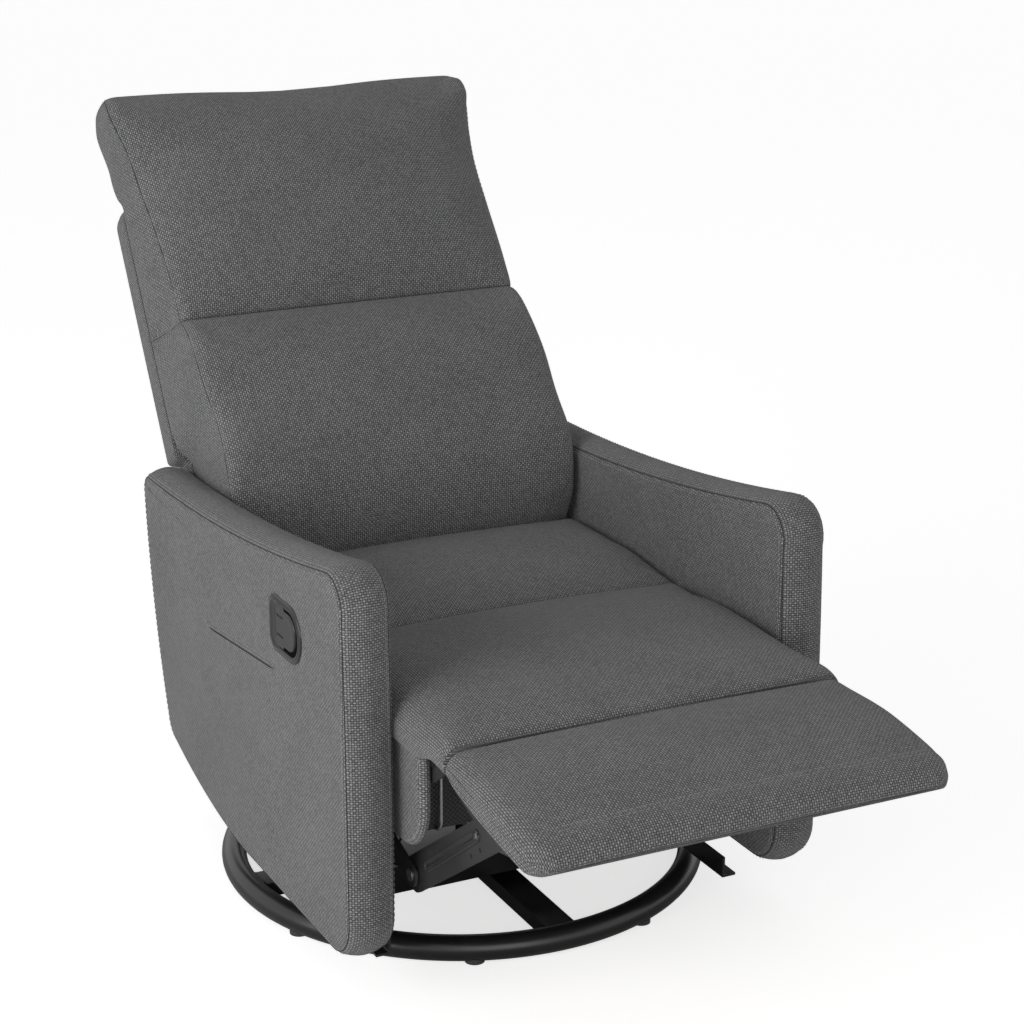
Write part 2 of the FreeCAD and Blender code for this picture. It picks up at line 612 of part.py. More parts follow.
def headed_pin(name, y, z):
    """Pin through a seat plate and the piece inside it, with a head on the inner end."""
    shank = cylinder(name + "_shank", (REAR_X + " - 0.5", y, z), "pin_radius",
                     "2*steel + link_gap + 0.5", "x")
    head = cylinder(name + "_head", (REAR_X + " - 2.5", y, z), "1.6*pin_radius", 2, "x")
    return fuse(name, shank, head)


hinge_pin = headed_pin("hinge_pin", "-hinge_y", "hinge_z")
back_pin = headed_pin("back_pin", "back_y", "back_z")
rear_pin = cylinder("rear_pin", (REAR_X,) + REAR_PIVOT, "pin_radius", "2*steel + link_gap", "x")
pair("seat_pins", group("pins_side", hinge_pin, back_pin, rear_pin))


def cushion_section(y, crown, edge, half, low):
    """Upright section across a seat cushion: flat below, drawn-in sides, arched top."""
    corners = [Vector(-half + 6, y, low), Vector(half - 6, y, low), Vector(half, y, low + edge),
               Vector(0, y, low + crown), Vector(-half, y, low + edge)]
    return wire(corners, ["line", "line", "arc", "line"])


half = size("seat_gap/2") - 5
crown, edge, low = size("seat_crown"), size("seat_edge"), size("deck_z")
seam = -size("seam_y")
front_end, rear_end = 20 - size("hinge_y"), size("back_y") - 30
seat_rear = solid_loft("seat_rear_half", [
    cushion_section(seam, crown - 7, edge - 4, half - 2, low),
    cushion_section((seam + rear_end)/2, crown, edge, half, low),
    cushion_section(rear_end, crown - 18, edge - 6, half - 4, low)])
seat_front = solid_loft("seat_front_half", [
    cushion_section(front_end, crown - 8, edge + 4, half, low),
    cushion_section((seam + front_end)/2, crown, edge + 2, half, low),
    cushion_section(seam, crown - 7, edge - 4, half - 2, low)])
keep(fuse("seat_cushion", seat_rear, seat_front))


# Back, made about its own hinge: w runs to the back, v runs up it.
def back_section(v, front, rear, half, bulge, swell=0):
    """Level section of a back cushion: front arch, straight sides, rear flat or arched by swell."""
    corners = [Vector(-half, front + bulge, v), Vector(0, front, v), Vector(half, front + bulge, v)]
    if swell:
        corners += [Vector(half, rear - swell, v), Vector(0, rear, v), Vector(-half, rear - swell, v)]
        return wire(corners, ["arc", "line", "arc", "line"])
    corners += [Vector(half, rear, v), Vector(-half, rear, v)]
    return wire(corners, ["arc", "line", "line", "line"])


def on_back(item):
    """Lean a piece of the back."""
    return at(item, "back_y", "back_z", -1, "recline")


frame_half = "(%s)" % REAR_X
frame_outline = [("-" + frame_half, 8), (frame_half, 8), (frame_half, "shell_v - 20"),
                 ("-" + frame_half, "shell_v - 20")]
window_half = "(%s - 30)" % REAR_X
window = [("-" + window_half, 70), (window_half, 70), (window_half, "shell_v - 80"),
          ("-" + window_half, "shell_v - 80")]
frame = plate("back_frame", "XZ", frame_outline, "shell_w - 25", 25, slots=[window])
keep(on_back(frame))
iron = [(-13, -13), ("shell_w - 25", -13), ("shell_w - 1", 10), ("shell_w - 1", "back_step"),
        ("shell_w - 24", "back_step"), ("shell_w - 24", 19), (-13, 13)]
iron_left = on_back(plate("back_bracket", "YZ", iron, REAR_X, "steel", [(0, 11), (6, 11), (3, 10), (4, 10)],
                          [(0, 0, "pin_radius + fit")]))
brackets = pair("back_brackets", iron_left)

shell_outline = [("-" + BACK_X, -40), (BACK_X, -40), (BACK_X, "back_step - 8"),
                 ("back_wide - 2", "back_step + 8"), ("back_wide - 2", "shell_v"),
                 ("2 - back_wide", "shell_v"), ("2 - back_wide", "back_step + 8"),
                 ("-" + BACK_X, "back_step - 8")]
keep(on_back(plate("back_shell", "XZ", shell_outline, "shell_w", "shell_thick",
                   [(0, 40), (1, 40), (4, 30), (5, 30)])))

narrow, broad = size(BACK_X), size("back_wide")
crease, shell_front = size("crease_v"), size("shell_w")
lumbar = solid_loft("lumbar_blank", [
    back_section(22, -38, shell_front, narrow - 6, 16),
    back_section(62, -78, shell_front, narrow - 1, 20),
    back_section(0.38*crease, -96, shell_front, narrow, 22),
    back_section(0.72*crease, -74, shell_front, narrow, 22),
    back_section(0.93*crease, -42, shell_front, narrow, 18),
    back_section(crease - 2, -22, shell_front, narrow - 2, 12)])
inside = fuse("back_inside", frame, brackets)
keep(cut("lumbar_cushion", on_back(lumbar), inside))

head_top, shell_top = size("head_v"), size("shell_v")
rise = head_top - crease
pillow = solid_loft("pillow_front", [
    back_section(crease, -22, shell_front, broad - 23, 14),
    back_section(crease + 0.12*rise, -46, shell_front, broad - 22, 24),
    back_section(crease + 0.4*rise, -54, shell_front, broad - 21, 34),
    back_section(crease + 0.72*rise, -26, shell_front, broad - 10, 34),
    back_section(crease + 0.93*rise, 10, shell_front, broad + 4, 20),
    back_section(head_top, 36, shell_front, broad + 2, 12)])
over = head_top - shell_top - 6
cap = solid_loft("pillow_cap", [
    back_section(shell_top + 6, shell_front - 10, shell_front + 20, broad - 8, 2, 10),
    back_section(shell_top + 6 + 0.25*over, shell_front - 10, shell_front + 36, broad + 3, 2, 14),
    back_section(shell_top + 6 + 0.75*over, shell_front - 10, shell_front + 34, broad + 3, 2, 14),
    back_section(head_top - 4, shell_front - 10, shell_front + 12, broad - 8, 2, 6)])
head = on_back(fuse("headrest_blank", pillow, cap))
keep(cut("headrest_cushion", head, frame))


# Footrest, made about its own hinge: -Y runs forward along it.
def on_foot(item):
    """Hang a piece of the footrest on its hinge."""
    return at(item, "-hinge_y", "hinge_z", 1, "foot_slope")


board_outline = [("-" + deck_half, "20 - foot_long"), (deck_half, "20 - foot_long"), (deck_half, -12),
                 ("-" + deck_half, -12)]
foot_board = on_foot(plate("footrest_board", "XY", board_outline, "foot_low", 10, [(0, 25), (1, 25)]))
keep(foot_board)
pin_u = "(-crank_y*cos(foot_slope) - crank_z*sin(foot_slope))"
pin_v = "(crank_y*sin(foot_slope) - crank_z*cos(foot_slope))"
wing = [(13, 13), (13, -13), (pin_u + " + 14", pin_v + " - 18"), (pin_u + " - 18", pin_v + " - 16"),
        ("36 - foot_long", "foot_low - 20"), ("28 - foot_long", "foot_low"), (-34, "foot_low")]
foot_iron = plate("foot_iron", "YZ", wing, REAR_X, "steel", [(0, 11), (1, 11), (2, 12), (3, 12), (4, 12)],
                  [(0, 0, "pin_radius + fit"), (pin_u, pin_v, "pin_radius"),
                   ("110 - foot_long", "foot_low - 15", 4), ("85 - foot_long", "foot_low - 13", 4),
                   ("60 - foot_long", "foot_low - 11", 4)])
foot_flange = box("foot_flange", (REAR_X + " - 24", "30 - foot_long", "foot_low - 4"),
                  (24, "foot_long - 70", 4))
pair("footrest_brackets", on_foot(fuse("footrest_bracket", foot_iron, foot_flange)))

foot_low, thick = size("foot_low"), size("foot_thick")
foot_half, foot_end, calf_end = size("foot_half"), size("foot_long"), size("calf_long")
calf = solid_loft("calf_blank", [
    cushion_section(-2, thick, 24, foot_half - 14, foot_low),
    cushion_section(-calf_end/2, thick + 2, 27, foot_half - 8, foot_low),
    cushion_section(-calf_end, thick - 6, 22, foot_half - 6, foot_low)])
keep(cut("calf_pad", on_foot(calf), foot_board))
foot = solid_loft("foot_blank", [
    cushion_section(-calf_end, thick - 6, 22, foot_half - 6, foot_low),
    cushion_section(-0.55*foot_end, thick + 2, 28, foot_half, foot_low),
    cushion_section(-0.9*foot_end, thick - 2, 28, foot_half + 2, foot_low),
    cushion_section(-foot_end, thick - 11, 27, foot_half - 8, foot_low)])
keep(cut("foot_pad", on_foot(foot), foot_board))
crank_start = (FRONT_X + " - 2",) + CRANK_PIN
crank_shank = cylinder("crank_shank", crank_start, "pin_radius", "2*steel + link_gap + 2", "x")
crank_head = cylinder("crank_head", crank_start, "1.6*pin_radius", 1.5, "x")
pair("crank_pins", fuse("crank_pin", crank_shank, crank_head))

# Rear links with their torque tube and elbow pins, and front links.
ELBOW = ("-elbow_y", "elbow_z")
rear = link("rear_link_left", REAR_X, ELBOW, ("crank_y", "crank_z"), "rear_half", "pin_radius + fit")
keep(rear)
keep(mirror("rear_link_right", rear))
keep(cylinder("torque_tube", ("-" + REAR_X,) + REAR_PIVOT, 11, "2*" + REAR_X, "x"))
elbow_start = (FRONT_X + " - 2",) + ELBOW
elbow_shank = cylinder("elbow_shank", elbow_start, "pin_radius", "2*steel + link_gap + 3.5", "x")
elbow_heads = [cylinder("elbow_head", elbow_start, "1.6*pin_radius", 1.5, "x"),
               cylinder("elbow_tail", (REAR_X + " + steel",) + ELBOW, "1.6*pin_radius", 1.5, "x")]
pair("elbow_pins", fuse("elbow_pin", elbow_shank, *elbow_heads))
reach = ("elbow_y - hinge_y - crank_y", "hinge_z - crank_z - elbow_z")
front = link("front_link_left", FRONT_X, ELBOW, reach, "link_half", "pin_radius + fit")
keep(front)
keep(mirror("front_link_right", front))

doc.recompute()
for item in doc.Objects:
    if "Invalid" in item.State or "Error" in item.State:
        raise RuntimeError("%s: %s" % (item.Label, item.State))
for item in nodes:
    shape = item.Shape
    if shape.isNull() or not shape.isValid() or not shape.Solids:
        raise RuntimeError("%s has no valid solid" % item.Label)
    shape.exportStep("parts/%s.step" % item.Label)
    print("%-22s %2d solids %10.1f cm3" % (item.Label, len(shape.Solids), shape.Volume/1000))
print(len(nodes), "nodes")
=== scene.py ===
# %% [markdown]
# # A swivel rocker recliner in woven cloth
# The steel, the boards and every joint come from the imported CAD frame. This lesson dresses that frame:
# it sews covers over the cushions, gives each metal and board its finish, and sets up the picture.
# Every soft piece is a surface worked out with numpy, so each shape can be read as a formula.

# %% Load the frame
import math
import bmesh
import bpy
import numpy as np
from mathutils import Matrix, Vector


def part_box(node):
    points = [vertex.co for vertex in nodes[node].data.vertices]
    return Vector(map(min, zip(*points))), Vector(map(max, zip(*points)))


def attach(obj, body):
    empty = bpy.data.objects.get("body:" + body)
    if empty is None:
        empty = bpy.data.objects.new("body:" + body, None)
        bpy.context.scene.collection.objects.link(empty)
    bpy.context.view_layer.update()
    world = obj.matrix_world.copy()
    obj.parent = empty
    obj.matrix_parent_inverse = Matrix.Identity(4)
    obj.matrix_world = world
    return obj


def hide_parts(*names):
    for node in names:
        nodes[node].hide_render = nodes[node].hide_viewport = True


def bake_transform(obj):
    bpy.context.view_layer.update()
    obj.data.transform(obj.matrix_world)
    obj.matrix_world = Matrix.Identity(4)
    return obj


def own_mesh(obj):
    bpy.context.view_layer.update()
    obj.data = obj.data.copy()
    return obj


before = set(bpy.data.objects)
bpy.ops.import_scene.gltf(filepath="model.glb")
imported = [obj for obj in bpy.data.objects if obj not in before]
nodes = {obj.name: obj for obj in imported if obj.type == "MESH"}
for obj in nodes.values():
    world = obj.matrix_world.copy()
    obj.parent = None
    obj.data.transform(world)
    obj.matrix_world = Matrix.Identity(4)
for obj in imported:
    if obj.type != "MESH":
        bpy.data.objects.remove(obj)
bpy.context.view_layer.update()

# %% [markdown]
# ## Camera
# The photograph was taken from the front right of the chair, from 1.5 m up and looking down by 18
# degrees, with a long lens. Place, turn and lens were solved from the round base and the straight arm
# edges, so they are simply typed in. A track-to constraint could aim the camera, but fixed angles are
# easier to read.

# %% Camera
scene = bpy.context.scene
lens = bpy.data.cameras.new("studio_camera")
lens.sensor_width = 36.0
lens.lens = 86.24
lens.clip_end = 60.0
camera = bpy.data.objects.new("studio_camera", lens)
camera.location = (-1.3250, -2.8233, 1.4922)
camera.rotation_euler = (math.radians(72.33), 0.0, math.radians(-26.41))
scene.collection.objects.link(camera)
scene.camera = camera
scene.view_settings.view_transform = "Standard"
print("camera at", tuple(round(v, 3) for v in camera.location))

# %% [markdown]
# ## Node helpers
# A finish, or the light of the surround, is a small graph of nodes. The helpers below start a finish
# and add one node each: maths, a colour ramp, noise, bump or coordinates. With them each recipe
# further on reads almost like a formula.


# %% Node helpers
def start_finish(name, roughness, metallic=0.0):
    """A new material with its shader's plain values set."""
    finish = bpy.data.materials.new(name)
    finish.use_nodes = True
    shader = finish.node_tree.nodes["Principled BSDF"]
    shader.inputs["Roughness"].default_value = roughness
    shader.inputs["Metallic"].default_value = metallic
    return finish, finish.node_tree, shader


def calc(tree, operation, first, second=0.0, third=0.0):
    """One maths node; each input is a socket or a number."""
    node = tree.nodes.new("ShaderNodeMath")
    node.operation = operation
    for socket, value in zip(node.inputs, (first, second, third)):
        if isinstance(value, bpy.types.NodeSocket):
            tree.links.new(value, socket)
        else:
            socket.default_value = value
    return node.outputs[0]


def ramp(tree, value, low, high, from_low=0.0, from_high=1.0):
    """Colour between low and high as value goes from from_low to from_high."""
    node = tree.nodes.new("ShaderNodeValToRGB")
    node.color_ramp.elements[0].position = from_low
    node.color_ramp.elements[1].position = from_high
    node.color_ramp.elements[0].color = (*low, 1.0)
    node.color_ramp.elements[1].color = (*high, 1.0)
    tree.links.new(value, node.inputs["Fac"])
    return node.outputs["Color"]


def noise(tree, vector, scale, detail=2.0):
    """Soft noise over a vector."""
    node = tree.nodes.new("ShaderNodeTexNoise")
    node.inputs["Scale"].default_value = scale
    node.inputs["Detail"].default_value = detail
    tree.links.new(vector, node.inputs["Vector"])
    return node.outputs["Fac"]


def raise_bump(tree, shader, height, distance, strength):
    """Lets a height, from 0 to 1 of distance in metres, tilt the surface."""
    node = tree.nodes.new("ShaderNodeBump")
    node.inputs["Distance"].default_value = distance
    node.inputs["Strength"].default_value = strength
    tree.links.new(height, node.inputs["Height"])
    tree.links.new(node.outputs["Normal"], shader.inputs["Normal"])


def coordinates(tree, kind):
    """UV or Object coordinates of the piece."""
    return tree.nodes.new("ShaderNodeTexCoord").outputs[kind]


print("node helpers ready")

# %% [markdown]
# ## Light and floor
# A pale studio: one broad lamp on the left, a weaker one in front, and an even white surround.
# The surround is plain white where the camera or a shiny metal sees it, and dimmer as light, which
# keeps the background white without lighting the cloth more than a colour chart would be.

# %% Surround
AS_LIGHT, AS_BACKGROUND = 0.30, 1.0
world = bpy.data.worlds.new("studio")
scene.world = world
world.use_nodes = True
sky = world.node_tree
paths = sky.nodes.new("ShaderNodeLightPath").outputs
shiny = calc(sky, "MAXIMUM", paths["Is Glossy Ray"], paths["Is Transmission Ray"])
seen = calc(sky, "MAXIMUM", paths["Is Camera Ray"], shiny)
strength = sky.nodes.new("ShaderNodeMapRange")
strength.inputs["To Min"].default_value = AS_LIGHT
strength.inputs["To Max"].default_value = AS_BACKGROUND
sky.links.new(seen, strength.inputs["Value"])
sky.links.new(strength.outputs[0], sky.nodes["Background"].inputs["Strength"])
sky.nodes["Background"].inputs["Color"].default_value = (1.0, 1.0, 1.0, 1.0)
print("surround strength", AS_LIGHT, "as light,", AS_BACKGROUND, "as background")


# %% Lamps and floor
def add_lamp(name, place, aim, width, power):
    """A square soft lamp at place, facing aim."""
    lamp = bpy.data.lights.new(name, "AREA")
    lamp.size = width
    lamp.energy = power
    thing = bpy.data.objects.new(name, lamp)
    thing.location = place
    gaze = np.array(aim) - np.array(place)
    thing.rotation_euler = (math.atan2(math.hypot(gaze[0], gaze[1]), -gaze[2]), 0.0,
                            math.atan2(gaze[1], gaze[0]) - math.pi/2)
    scene.collection.objects.link(thing)


add_lamp("key_lamp", (-3.4, -0.9, 1.4), (0.0, 0.0, 0.4), width=2.2, power=62.0)
add_lamp("front_lamp", (-0.6, -3.8, 1.2), (0.0, 0.0, 0.5), width=2.2, power=24.0)
FLOOR_REACH, FLOOR_LIFT = 30.0, 0.70
floor_corners = FLOOR_REACH*np.array([(-1, -1, 0), (1, -1, 0), (1, 1, 0), (-1, 1, 0)])
floor_mesh = bpy.data.meshes.new("floor")
floor_mesh.from_pydata(floor_corners.tolist(), [], [(0, 1, 2, 3)])
floor = bpy.data.objects.new("floor", floor_mesh)
scene.collection.objects.link(floor)
pale, ground, shader = start_finish("pale_floor", roughness=0.8)
shader.inputs["Base Color"].default_value = (0.82, 0.82, 0.82, 1.0)
shader.inputs["Specular IOR Level"].default_value = 0.1
shader.inputs["Emission Color"].default_value = (1.0, 1.0, 1.0, 1.0)
glance = ground.nodes.new("ShaderNodeLightPath").outputs["Is Camera Ray"]
ground.links.new(calc(ground, "MULTIPLY", glance, FLOOR_LIFT), shader.inputs["Emission Strength"])
floor_mesh.materials.append(pale)
print("two lamps and a floor")

# %% [markdown]
# ## The upholstery cloth
# The chair wears a coarse charcoal cloth in plain weave: 3 mm from thread to thread. Its colour
# follows the thread height, so the thread tops are lighter and the gaps darker: painted shade between
# the threads. An image could carry it, but two sets of waves give the same weave at any size. The
# piece's UV map is in metres along the cloth, so the threads follow the panels.


# %% Woven cloth
def woven_cloth(name, dark, light, thread, weft_share):
    """Plain weave. A warp thread's height is (1 - 4 f^2)(1/2 + 1/2 cos(pi(along - 1/2 + its number))), f
    from -1/2 to 1/2 across it. A weft thread's is the same turned by a quarter and one step later. The
    higher of the two shows. Each crossing has its own shade, as heathered yarn has."""
    speck_share, cloud_share, plain_share, crimp = 0.36, 0.3, 0.6, 0.0011
    finish, tree, shader = start_finish(name, roughness=0.9)
    shader.inputs["Sheen Weight"].default_value = 0.2
    shader.inputs["Sheen Roughness"].default_value = 0.5
    shader.inputs["Specular IOR Level"].default_value = 0.25
    cloth = coordinates(tree, "UV")
    split = tree.nodes.new("ShaderNodeSeparateXYZ")
    tree.links.new(cloth, split.inputs[0])
    across = calc(tree, "DIVIDE", split.outputs[0], thread)
    along = calc(tree, "DIVIDE", split.outputs[1], thread)
    cell_x = calc(tree, "FLOOR", across)
    cell_y = calc(tree, "FLOOR", along)
    heights = []
    for here, cell, there, late in ((across, cell_x, along, 0.5), (along, cell_y, across, 1.5)):
        part = calc(tree, "SUBTRACT", calc(tree, "SUBTRACT", here, cell), 0.5)
        body = calc(tree, "MULTIPLY_ADD", calc(tree, "MULTIPLY", part, part), -4.0, 1.0)
        step = calc(tree, "ADD", calc(tree, "SUBTRACT", there, late), cell)
        turn = calc(tree, "MULTIPLY", step, math.pi)
        wave = calc(tree, "MULTIPLY_ADD", calc(tree, "COSINE", turn), 0.5, 0.5)
        heights.append(calc(tree, "MULTIPLY", body, wave))
    height = calc(tree, "MAXIMUM", *heights)
    # Colour from height: the gaps and thread edges get painted shade; the speck and cloud below are the
    # yarn's own heather.
    seen = calc(tree, "MAXIMUM", heights[0], calc(tree, "MULTIPLY", heights[1], weft_share))
    cell = tree.nodes.new("ShaderNodeCombineXYZ")
    tree.links.new(cell_x, cell.inputs[0])
    tree.links.new(cell_y, cell.inputs[1])
    speck = tree.nodes.new("ShaderNodeTexWhiteNoise")
    speck.noise_dimensions = "2D"
    tree.links.new(cell.outputs[0], speck.inputs["Vector"])
    cloud = calc(tree, "MULTIPLY", noise(tree, cloth, scale=9.0, detail=3.0), cloud_share)
    tone = calc(tree, "MULTIPLY_ADD", speck.outputs["Value"], speck_share, cloud)
    shade = calc(tree, "MULTIPLY", seen, calc(tree, "ADD", tone, plain_share))
    tree.links.new(ramp(tree, shade, dark, light, 0.12, 0.95), shader.inputs["Base Color"])
    raise_bump(tree, shader, height, crimp, strength=0.9)
    return finish


weave = woven_cloth("charcoal_weave", (0.018, 0.018, 0.019), (0.440, 0.441, 0.446), thread=0.0030,
                    weft_share=0.62)
print("cloth:", weave.name)

# %% [markdown]
# ## Metal, plastic and board finishes
# Painted steel is never one flat black: the powder coat has a fine orange-peel skin, and it shines a
# little more or less from place to place. Object coordinates suit these rigid pieces, because their
# finish doesn't follow any seam. Bare steel is a metal, so only its roughness and tone wander.


# %% Coated, bare and moulded finishes
def skin(name, dark, light, roughness, grain, peel, metallic=0.0, stretch=(1.0, 1.0, 1.0)):
    """Tone wanders between dark and light over patches; roughness wanders by up to a fifth; a fine grain
    of peel metres tilts the surface. stretch pulls the patches out into brush or grain lines."""
    patch_scale, patch_share, fine_share = 14.0, 0.6, 0.4
    finish, tree, shader = start_finish(name, roughness, metallic)
    place = tree.nodes.new("ShaderNodeMapping")
    place.inputs["Scale"].default_value = stretch
    tree.links.new(coordinates(tree, "Object"), place.inputs["Vector"])
    patches = noise(tree, place.outputs[0], patch_scale, detail=4.0)
    fine = noise(tree, place.outputs[0], grain)
    mixed = calc(tree, "MULTIPLY_ADD", fine, fine_share, calc(tree, "MULTIPLY", patches, patch_share))
    tree.links.new(ramp(tree, mixed, dark, light, 0.3, 0.7), shader.inputs["Base Color"])
    dull = calc(tree, "MULTIPLY_ADD", calc(tree, "SUBTRACT", patches, 0.5), 0.4*roughness, roughness)
    tree.links.new(dull, shader.inputs["Roughness"])
    raise_bump(tree, shader, fine, peel, strength=0.6)
    return finish


# Each line: name, dark and light tone, roughness, grain, peel in metres and how metallic it is.
powder_coat = skin("powder_coat", (0.008, 0.008, 0.009), (0.020, 0.020, 0.021), 0.30, 900.0, 0.00012)
link_paint = skin("link_paint", (0.022, 0.022, 0.023), (0.045, 0.045, 0.047), 0.42, 700.0, 0.00010)
zinc = skin("zinc_plate", (0.42, 0.42, 0.43), (0.66, 0.66, 0.66), 0.32, 500.0, 0.00004, 1.0)
moulding = skin("gloss_moulding", (0.022, 0.022, 0.023), (0.036, 0.036, 0.037), 0.22, 1500.0, 0.00005)
glide_plastic = skin("glide_plastic", (0.03, 0.03, 0.032), (0.06, 0.06, 0.062), 0.55, 600.0, 0.0001)
plywood = skin("pale_plywood", (0.42, 0.28, 0.15), (0.66, 0.49, 0.31), 0.62, 60.0, 0.0002,
               stretch=(1.0, 14.0, 14.0))
spring_wire = skin("spring_wire", (0.05, 0.05, 0.052), (0.10, 0.10, 0.10), 0.35, 400.0, 0.00005, 0.8)
# Near-black fill for the pocket slit, the handle slots and the link holes: painted shade in hollows.
painted_hollow_shade = skin("black_painted_hollow_shade", (0.004, 0.004, 0.004), (0.012, 0.012, 0.012), 0.9, 500.0, 0.0002)
cable_wire = skin("cable_wire", (0.30, 0.30, 0.31), (0.52, 0.52, 0.53), 0.30, 600.0, 0.00004, 0.9)
print("finishes:", len(bpy.data.materials))


# %% Finishes onto the CAD pieces
def dress(finish, *names):
    """Gives CAD pieces a finish in place of the plain colour they came with."""
    for name in names:
        nodes[name].data.materials.clear()
        nodes[name].data.materials.append(finish)


dress(powder_coat, "base_cross_bar", "base_spokes", "swivel_lower_plate", "swivel_upper_plate",
      "rail_left", "rail_right", "cross_rail_front", "cross_rail_rear", "rocker_brackets",
      "chassis_plates", "chassis_cross_front", "chassis_cross_rear", "arm_mounts", "seat_bar", "torque_tube")
dress(link_paint, "seat_plates", "back_brackets", "footrest_brackets", "rear_link_left",
      "rear_link_right", "front_link_left", "front_link_right", "swivel_race_lower", "swivel_race_upper")
dress(zinc, "swivel_balls", "swivel_stud", "swivel_nut", "rocker_pins", "seat_guide_pins", "handle_pin",
      "seat_pins", "crank_pins", "elbow_pins")
dress(moulding, "latch_box", "rocker_bushings")
dress(glide_plastic, "floor_glides")
dress(plywood, "arm_boards", "seat_front_rail", "seat_rear_rail", "seat_deck", "back_frame",
      "footrest_board")
dress(cable_wire, "release_cable")
print("dressed CAD pieces")

# %% [markdown]
# ## Surfaces into meshes
# A grid of points becomes a mesh by joining neighbours into four-sided faces. The helpers below take
# whole arrays, the grid and a UV map in millimetres, and close the ends with a fan of triangles.
# add_piece turns both into metres, as the frame is, and makes the piece ride on its body.


# %% Grid helpers
def add_piece(name, points, faces, corners, body, slot, finish, hides=()):
    """Millimetre points, faces as lists of point numbers and one UV pair for each face corner."""
    mesh = bpy.data.meshes.new(name)
    mesh.from_pydata((points*0.001).tolist(), [], faces)
    layer = mesh.uv_layers.new(name="cloth")
    layer.uv.foreach_set("vector", (corners*0.001).astype(np.float32).ravel())
    solid = bmesh.new()
    solid.from_mesh(mesh)
    bmesh.ops.recalc_face_normals(solid, faces=solid.faces)
    solid.to_mesh(mesh)
    solid.free()
    mesh.polygons.foreach_set("use_smooth", np.ones(len(mesh.polygons), bool))
    mesh.materials.append(finish)
    piece = bpy.data.objects.new(name, mesh)
    scene.collection.objects.link(piece)
    if body:
        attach(piece, body)
    if hides:
        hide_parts(*hides)
    print(name, len(points), "points", len(faces), "faces")
    return piece


def grid_faces(grid, cloth, closed=False):
    """Four-sided faces of a grid (rows, columns, 3), with a UV pair at each corner. Where the columns
    close on themselves, cloth has one more column than the grid, so that the map needn't jump back."""
    rows, columns = grid.shape[:2]
    i, j = np.meshgrid(np.arange(rows - 1), np.arange(columns if closed else columns - 1), indexing="ij")
    k = (j + 1) % columns
    quads = np.stack([i*columns + j, i*columns + k, (i + 1)*columns + k, (i + 1)*columns + j], -1)
    pairs = np.stack([cloth[i, j], cloth[i, j + 1], cloth[i + 1, j + 1], cloth[i + 1, j]], -2)
    return grid.reshape(-1, 3), quads.reshape(-1, 4).tolist(), pairs.reshape(-1, 2)


def tube_faces(grid, cloth, caps=(True, True), cap_map=None):
    """Faces of a grid whose columns close on themselves. A cap is a fan of triangles round the middle of
    the first or last row, and may have a map of its own."""
    rows, columns = grid.shape[:2]
    points, faces, corners = grid_faces(grid, cloth, closed=True)
    cap_map = cloth if cap_map is None else cap_map
    around = np.arange(columns)
    for row in np.array([0, rows - 1])[list(caps)]:
        fan = np.stack([row*columns + around, row*columns + (around + 1) % columns,
                        np.full(columns, len(points))], -1)
        middle = np.tile(cap_map[row].mean(0), (columns, 1))
        pairs = np.stack([cap_map[row, :-1], cap_map[row, 1:], middle], 1)
        points = np.vstack([points, grid[row].mean(0)])
        faces += fan.tolist()
        corners = np.vstack([corners, pairs.reshape(-1, 2)])
    return points, faces, corners


def closed_round(grid):
    """A grid with its first column once more at the end."""
    return np.concatenate([grid, grid[:, :1]], 1)


def unit(vectors):
    """Vectors along the last axis, each divided by its length."""
    return vectors/np.linalg.norm(vectors, axis=-1, keepdims=True)


def running(values, axis):
    """Length run so far along an axis of a grid of points, starting at 0."""
    steps = np.linalg.norm(np.diff(values, axis=axis), axis=-1)
    start = np.zeros_like(np.take(steps, [0], axis=axis))
    return np.concatenate([start, np.cumsum(steps, axis=axis)], axis=axis)


print("grid helpers ready")

# %% [markdown]
# ## Smooth values between stations
# A cushion's measures are known at a few stations along it. Straight lines between them would show as
# ridges, so a cubic runs through them, with a slope at each station that never overshoots.


# %% Smooth stations
def smooth(where, stations, values):
    """Cubic through (stations, values): slope at a station is the harmonic mean of the slopes beside it,
    or 0 at a peak, so the curve keeps between its stations."""
    x, y = np.asarray(stations, float), np.asarray(values, float)
    width = np.diff(x)
    rise = np.diff(y)/width
    slope = np.zeros_like(y)
    same = rise[:-1]*rise[1:] > 0
    slope[1:-1][same] = 2*rise[:-1][same]*rise[1:][same]/(rise[:-1][same] + rise[1:][same])
    slope[0], slope[-1] = rise[0], rise[-1]
    at = np.clip(np.searchsorted(x, where) - 1, 0, len(width) - 1)
    t = (where - x[at])/width[at]
    return ((2*t**3 - 3*t**2 + 1)*y[at] + (t**3 - 2*t**2 + t)*width[at]*slope[at]
            + (3*t**2 - 2*t**3)*y[at + 1] + (t**3 - t**2)*width[at]*slope[at + 1])


print("half way up a step:", float(smooth(np.array([0.5]), [0, 1], [0, 10])[0]))

# %% [markdown]
# ## A padded box along a line
# Seat, lumbar cushion, headrest and foot pad are all boxes of foam under cloth. Their section is a
# rectangle grown by a circle, which rounds its edges, and its upper side is arched. Carrying that
# section along a line of stations, and shrinking it in a quarter circle at the ends, gives the pad.

# %% Pad section and pad
LOWER_EDGE, MOST_ROUND = 0.35, 0.7


